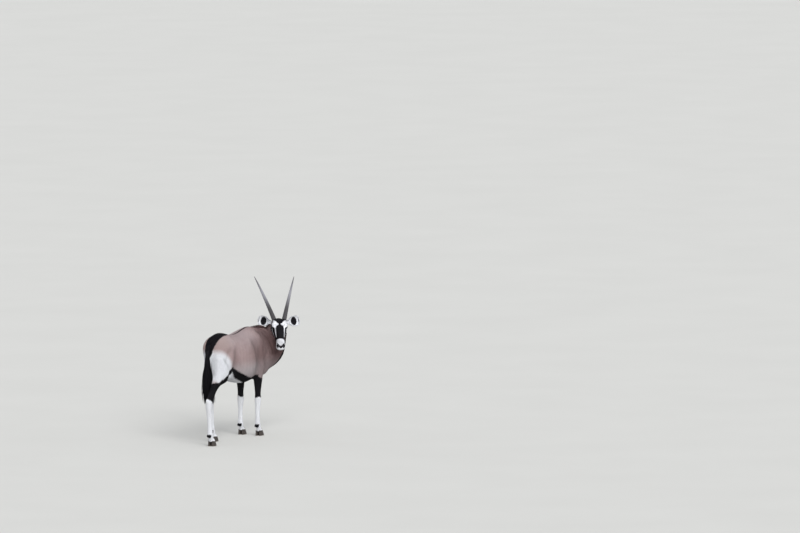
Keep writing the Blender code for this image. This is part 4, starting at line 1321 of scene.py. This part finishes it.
def eyeball(side):
    """A glossy eye with a bulging front and a long level pupil."""
    centre = Vector((EYE_AT[0], side * EYE_AT[1], EYE_AT[2]))
    work = bmesh.new()
    bmesh.ops.create_uvsphere(work, u_segments=64, v_segments=48, radius=EYE_RADIUS - 0.0002)
    look = Vector((0.1, side, 0.02)).normalized()
    pupil, iris = [], []
    for v in work.verts:
        way = v.co.normalized()
        across, rise = way.x - look.x, way.z - look.z
        front = way.dot(look) > 0
        pupil.append(1 - math.hypot(across / 0.36, rise / 0.17) if front else -1.0)
        iris.append(1 - math.hypot(across, rise) / 0.66 if front else -1.0)
        bulge = 0.035 * max(0.0, 1 - math.hypot(across, rise) / 0.62) ** 0.7 if front else 0.0
        v.co *= 1 + bulge
        v.co = HEAD @ (centre + v.co)
    made = object_from("eyeball_" + side_name(side), work)
    give_values(made, {"pupil": np.array(pupil), "iris": np.array(iris)})
    return made


CLAW = (  # height, length, half width, how far it stands ahead
    (0.0, 0.0505, 0.0185, 0.012),
    (0.0012, 0.0518, 0.0193, 0.012),
    (0.006, 0.0515, 0.0193, 0.0115),
    (0.018, 0.049, 0.019, 0.01),
    (0.03, 0.045, 0.0185, 0.007),
    (0.04, 0.041, 0.0178, 0.004),
    (0.05, 0.037, 0.017, 0.0),
    (0.056, 0.034, 0.016, -0.002),
    (0.0585, 0.029, 0.013, -0.003),
)


def hoof(leg_name, side, x, y):
    """The two claws of one foot: rounded walls that widen to a flat sole."""
    made = []
    for claw in SIDES:
        rings = []
        for z, length, width, ahead in smooth_values(CLAW, 4):
            centre = Vector((x + ahead, y + claw * 0.0205, max(0.0, z)))
            rings.append(hoof_ring(centre, length, width, claw))
        name = f"{leg_name}_{side_name(side)}_{side_name(claw)}"
        item = loft("claw_" + name, rings)
        made.append((item, "hoof_" + name))
    return made


def hoof_ring(centre, length, width, claw):
    """A claw from above: pointed in front, straight along the cleft."""
    points = []
    for i in range(CLAW_COLUMNS):
        angle = 2 * math.pi * i / CLAW_COLUMNS
        ahead, across = math.cos(angle), math.sin(angle) * claw
        reach = width * (0.92 if across * claw < 0 else 1.0)
        narrow = 1.0 - 0.38 * max(0.0, ahead) ** 1.6
        inward = -0.004 * claw * max(0.0, ahead) ** 2
        points.append(centre + Vector((ahead * length, across * reach * narrow + inward, 0.0)))
    return points


def lashes(root_map):
    """Dark lashes along both upper lids."""
    roots, starts, falls = [], [], []
    x, y, z = EYE_AT
    for side in SIDES:
        for place in np.linspace(-0.9, 0.95, LASHES):
            along_lid = x + 0.001 + 0.0185 * place
            rise = z + 0.0126 * math.sqrt(1 - place * place)
            flat = (along_lid - x) ** 2 + (rise - z) ** 2
            depth = math.sqrt(max(0.0, (EYE_RADIUS + 0.0025) ** 2 - flat))
            roots.append(on_head(along_lid, side * (y + depth), rise))
            starts.append(HEAD_TURN @ Vector((0.5 * place, side * 1.0, 0.55)))
            falls.append(HEAD_TURN @ Vector((0.4 * place, side * 0.75, -0.25 + rng.normal(0, 0.1))))
    roots, starts, falls = (np.array([tuple(v) for v in group]) for group in (roots, starts, falls))
    count = len(roots)
    values = even_values(count, black=ALL_BLACK, edge=0.001)
    lengths, widths = rng.uniform(0.008, 0.012, count), np.full(count, 0.00035)
    return hair("lashes", roots, starts, unit(falls), lengths, widths, 5, 0.25, root_map, values)


# Finishes

def operator(kind, swapped=False):
    """A Python operator that adds a Math node of the given kind."""
    def apply(value, other):
        first, second = (other, value) if swapped else (value, other)
        return value.finish.node("ShaderNodeMath", {"operation": kind}, {0: first, 1: second})
    return apply


class Value:
    """A number or colour that varies over a surface. Its sums and products add Math nodes."""

    __add__, __radd__ = operator("ADD"), operator("ADD", True)
    __sub__, __rsub__ = operator("SUBTRACT"), operator("SUBTRACT", True)
    __mul__, __rmul__ = operator("MULTIPLY"), operator("MULTIPLY", True)
    __truediv__ = operator("DIVIDE")

    def __init__(self, finish, socket):
        self.finish = finish
        self.socket = socket

    def between(self, low, high):
        """0 below low, 1 above high and smooth between them."""
        inputs = {"Value": self, "From Min": low, "From Max": high}
        return self.finish.node("ShaderNodeMapRange", {"interpolation_type": "SMOOTHSTEP"}, inputs)


class Finish:
    """A material on one Principled shader, with its constant values set on the shader."""

    def __init__(self, name, **constants):
        self.material = bpy.data.materials.new(name)
        self.material.use_nodes = True
        self.tree = self.material.node_tree
        self.shader = self.tree.nodes["Principled BSDF"]
        for socket, value in constants.items():
            self.shader.inputs[socket.replace("_", " ")].default_value = value

    def node(self, kind, settings=None, inputs=None, output=0):
        made = self.tree.nodes.new(kind)
        for key, value in (settings or {}).items():
            setattr(made, key, value)
        for key, value in (inputs or {}).items():
            self.feed(made.inputs[key], value)
        return Value(self, made.outputs[output])

    def feed(self, socket, value):
        if isinstance(value, Value):
            self.tree.links.new(value.socket, socket)
        else:
            socket.default_value = value

    def mark(self, name):
        return self.node("ShaderNodeAttribute", {"attribute_name": name}, output="Fac")

    def place(self, stretch=(1.0, 1.0, 1.0)):
        where = self.node("ShaderNodeTexCoord", output="Object")
        return self.node("ShaderNodeVectorMath", {"operation": "MULTIPLY"}, {0: where, 1: stretch})

    def noise(self, scale, detail=3.0, stretch=(1.0, 1.0, 1.0)):
        inputs = {"Vector": self.place(stretch), "Scale": scale, "Detail": detail}
        return self.node("ShaderNodeTexNoise", None, inputs)

    def mix(self, share, first, second, blend="MIX"):
        settings = {"data_type": "RGBA", "blend_type": blend}
        return self.node("ShaderNodeMix", settings, {0: share, 6: first, 7: second}, output=2)

    def bump(self, height, strength, distance):
        inputs = {"Height": height, "Strength": strength, "Distance": distance}
        self.feed(self.shader.inputs["Normal"], self.node("ShaderNodeBump", None, inputs))

    def colour(self, value):
        self.feed(self.shader.inputs["Base Color"], value)


def shade(red, green, blue):
    """A colour in the shader's own light from its value on a screen, 0 to 255."""
    def one(value):
        value /= 255
        return value / 12.92 if value <= 0.04045 else ((value + 0.055) / 1.055) ** 2.4
    return one(red), one(green), one(blue), 1.0


FAWN = shade(184, 163, 162)
FAWN_DEEP = shade(166, 142, 142)
RUSSET_AND_SHADE = shade(108, 83, 82)
ORANGE = shade(172, 146, 138)
WHITE = shade(238, 239, 243)
OFF_WHITE = shade(220, 218, 222)
BLACK = shade(14, 14, 20)
BLACK_BROWN = shade(27, 23, 26)
NOSE_GREY = shade(120, 116, 122)


def coat_finish(name, tuft):
    """Fawn hair with its black and white markings, painted shade in the creases and painted light along the
    back, for the skin or for the tufts on it.
    """
    made = Finish(name, Roughness=0.72, Specular_IOR_Level=0.16)
    broad = made.noise(5.0, 2.0)
    fine = made.noise(90.0, 3.0)
    hairs = made.noise(420.0, 2.0, (0.25, 1.0, 0.6))
    edge = made.mark("edge")
    ragged = (fine - 0.5) * edge * 2.2
    base = made.mix(broad.between(0.3, 0.75) * 0.6, FAWN, FAWN_DEEP)
    # russet: the coat's own reddish brown, and on neck and shoulder partly painted shade
    base = made.mix(made.mark("red"), base, RUSSET_AND_SHADE)
    base = made.mix(made.mark("orange") * 0.6, base, ORANGE)
    # the pale share holds painted light along the top of the back, and in part low on the flank
    base = made.mix(made.mark("pale"), base, WHITE)
    pale = made.mix(broad.between(0.45, 0.75) * 0.4, WHITE, OFF_WHITE)
    dark = made.mix(fine.between(0.35, 0.75), BLACK, BLACK_BROWN)
    white_share = ((made.mark("white") + ragged) / edge).between(-1.6, 1.6)
    black_share = ((made.mark("black") + ragged) / edge).between(-0.5, 0.5)
    mixed = made.mix(black_share, made.mix(white_share, base, pale), dark)
    mixed = made.mix(made.mark("grey") * 0.8, mixed, NOSE_GREY)
    tone = made.mark("tone") * 0.06 + 0.98 if tuft else hairs * 0.26 + 0.83
    # painted shade: the coat is darkened by up to a third along the creases
    tone = tone * (1 - made.mark("crease_shade") * 0.32)
    grain = made.node("ShaderNodeCombineColor", None, {0: tone, 1: tone, 2: tone})
    made.colour(made.mix(1.0, mixed, grain, "MULTIPLY"))
    if not tuft:
        made.bump(hairs + fine * 0.5, 0.5, 0.0012)
    return made.material


def horn_finish():
    """Grey-black horn, paler and more worn on the crests of the rings, and paler bluish grey up the horn
    towards the tips: partly the horn's own greyer upper part, partly painted sheen of sky light.
    """
    made = Finish("ringed_horn", Roughness=0.5)
    streak = made.noise(60.0, 4.0, (1.0, 1.0, 0.12))
    fine = made.noise(380.0, 3.0)
    crest = made.mark("ridge")
    low = made.mix(streak.between(0.3, 0.7), shade(27, 26, 28), shade(46, 44, 46))
    worn = made.mix(crest * 0.7, low, shade(84, 81, 82))
    # painted sheen: the middle and tips are paled to a bluish grey, partly the horn's own tone
    middle = made.mark("share").between(0.22, 0.62)
    tip = made.mark("share").between(0.6, 0.95)
    upper = made.mix(tip, shade(156, 155, 162), shade(100, 98, 102))
    made.colour(made.mix(middle * 0.75, worn, upper))
    made.feed(made.shader.inputs["Roughness"], 0.62 - tip * 0.2)
    made.bump(fine + streak * 0.8, 0.35, 0.0008)
    return made.material


def eye_finish():
    """Near-black brown iris round a level black pupil, wet all over."""
    made = Finish("wet_eye", Roughness=0.12, Coat_Weight=0.03, Coat_Roughness=0.03,
                  Specular_IOR_Level=0.08)
    fibre = made.noise(300.0, 4.0)
    iris = made.mix(fibre, shade(15, 9, 7), shade(31, 19, 13))
    rim = made.mix(made.mark("iris").between(-0.05, 0.15), shade(22, 18, 18), iris)
    made.colour(made.mix(made.mark("pupil").between(-0.1, 0.06), rim, shade(6, 6, 8)))
    return made.material


def hoof_finish():
    """Dark horn with growth lines and pale wear at the lower edge."""
    made = Finish("dark_hoof", Roughness=0.45)
    lines = made.noise(40.0, 3.0, (0.3, 0.3, 9.0))
    grain = made.noise(240.0, 3.0, (1.0, 1.0, 0.2))
    height = made.node("ShaderNodeSeparateXYZ", None, {0: made.place()}, output=2)
    base = made.mix(lines.between(0.35, 0.65), shade(44, 38, 36), shade(66, 58, 53))
    made.colour(made.mix((1 - height.between(0.001, 0.012)) * 0.7, base, shade(104, 94, 84)))
    made.bump(lines + grain * 0.4, 0.5, 0.0012)
    return made.material


def floor_finish():
    made = Finish("pale_floor", Roughness=0.9)
    cloud = made.noise(0.8, 3.0)
    made.colour(made.mix(cloud, shade(203, 202, 198), shade(209, 208, 204)))
    return made.material


# Putting the pieces on the part

FLESH = ("torso", "neck", "head", "foreleg_left", "foreleg_right", "hindleg_left", "hindleg_right")


def settle(item, finish, nodes):
    """Moves a finished piece to where the part stands, ties it to the root body and hides the part nodes it
    stands in for.
    """
    item.data.transform(Matrix.Translation(SHIFT))
    item.data.shade_smooth()
    item.data.materials.clear()
    item.data.materials.append(finish)
    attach(item, "root")
    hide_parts(*nodes)


def floor_and_light():
    """A plain pale floor under soft even studio light."""
    bpy.context.scene.view_settings.view_transform = "Standard"
    bpy.ops.mesh.primitive_circle_add(vertices=96, radius=220, fill_type="NGON")
    floor = bpy.context.object
    floor.name = "floor"
    floor.data.materials.append(floor_finish())
    world = bpy.data.worlds.new("studio")
    bpy.context.scene.world = world
    world.use_nodes = True
    sky = world.node_tree.nodes["Background"].inputs
    sky["Color"].default_value = (0.93, 0.96, 1.0, 1.0)
    sky["Strength"].default_value = 0.62
    for name, strength, spread, turn in (("key", 2.5, 40, (54, 0, -44)), ("fill", 0.45, 90, (60, 0, 60))):
        lamp = bpy.data.lights.new(name, "SUN")
        lamp.energy = strength
        lamp.angle = math.radians(spread)
        holder = remember(bpy.data.objects.new(name, lamp))
        holder.rotation_euler = [math.radians(v) for v in turn]


def camera():
    """The photograph's view: from behind the animal's right side, through a long lens."""
    turn, rise = math.radians(VIEW_AZIMUTH), math.radians(VIEW_ELEVATION)
    back = Vector((math.sin(turn) * math.cos(rise), -math.cos(turn) * math.cos(rise), math.sin(rise)))
    right = Vector((math.cos(turn), math.sin(turn), 0.0))
    up = back.cross(right)
    target = Vector(WITHERS) + SHIFT
    target += right * ((PICTURE_SIZE[0] / 2 - WITHERS_PIXEL[0]) / PIXELS_PER_METRE)
    target -= up * ((PICTURE_SIZE[1] / 2 - WITHERS_PIXEL[1]) / PIXELS_PER_METRE)
    lens = bpy.data.cameras.new("view")
    lens.sensor_width = SENSOR_WIDTH
    lens.lens = SENSOR_WIDTH * CAMERA_DISTANCE / (PICTURE_SIZE[0] / PIXELS_PER_METRE)
    lens.clip_end = 1000
    holder = remember(bpy.data.objects.new("view", lens))
    holder.location = target + back * CAMERA_DISTANCE
    holder.rotation_euler = (-back).to_track_quat("-Z", "Y").to_euler()
    bpy.context.scene.camera = holder


def dress_body(skin_coat, tuft_coat):
    """The skin over all the flesh, its short coat, the mane and the lashes."""
    skin, from_face, near = hide()
    values = markings(points_of(skin), normals_of(skin), from_face < MARKED_FACE, near)
    values["tone"] = np.zeros(len(from_face))
    give_values(skin, values)
    root_map = RootMap(skin)
    for item in short_coat(skin, from_face, near, root_map) + [mane(root_map), lashes(root_map)]:
        settle(item, tuft_coat, FLESH)
    settle(skin, skin_coat, FLESH)


def dress_tail(skin_coat, tuft_coat):
    core = tail_core()
    give_values(core, even_values(len(core.data.vertices), black=ALL_BLACK, edge=0.002))
    tail_map = RootMap(core, 800)
    settle(tail_hair(tail_map), tuft_coat, ("tail",))
    settle(core, skin_coat, ("tail",))


def dress_ear(side, skin_coat, tuft_coat):
    node = "ear_" + side_name(side)
    cup, places = ear(side)
    ear_map = RootMap(cup, 600)
    for item in (ear_fur(cup, places, side, ear_map), ear_fringe(side, ear_map)):
        settle(item, tuft_coat, (node,))
    settle(cup, skin_coat, (node,))


def main():
    skin_coat, tuft_coat = coat_finish("coat_skin", False), coat_finish("coat_tuft", True)
    dress_body(skin_coat, tuft_coat)
    dress_tail(skin_coat, tuft_coat)
    horn_look, eye_look, hoof_look = horn_finish(), eye_finish(), hoof_finish()
    for side in SIDES:
        settle(horn(side), horn_look, ("horn_" + side_name(side),))
        settle(eyeball(side), eye_look, ("eye_" + side_name(side),))
        dress_ear(side, skin_coat, tuft_coat)
        hock_x, hock_y = hock(side)
        claws = hoof("fore", side, FORE_X + 0.036, side * STANCE_Y)
        claws += hoof("hind", side, hock_x + 0.05, hock_y)
        for item, node in claws:
            settle(item, hoof_look, (node,))
    floor_and_light()
    camera()
    bpy.context.view_layer.update()


main()
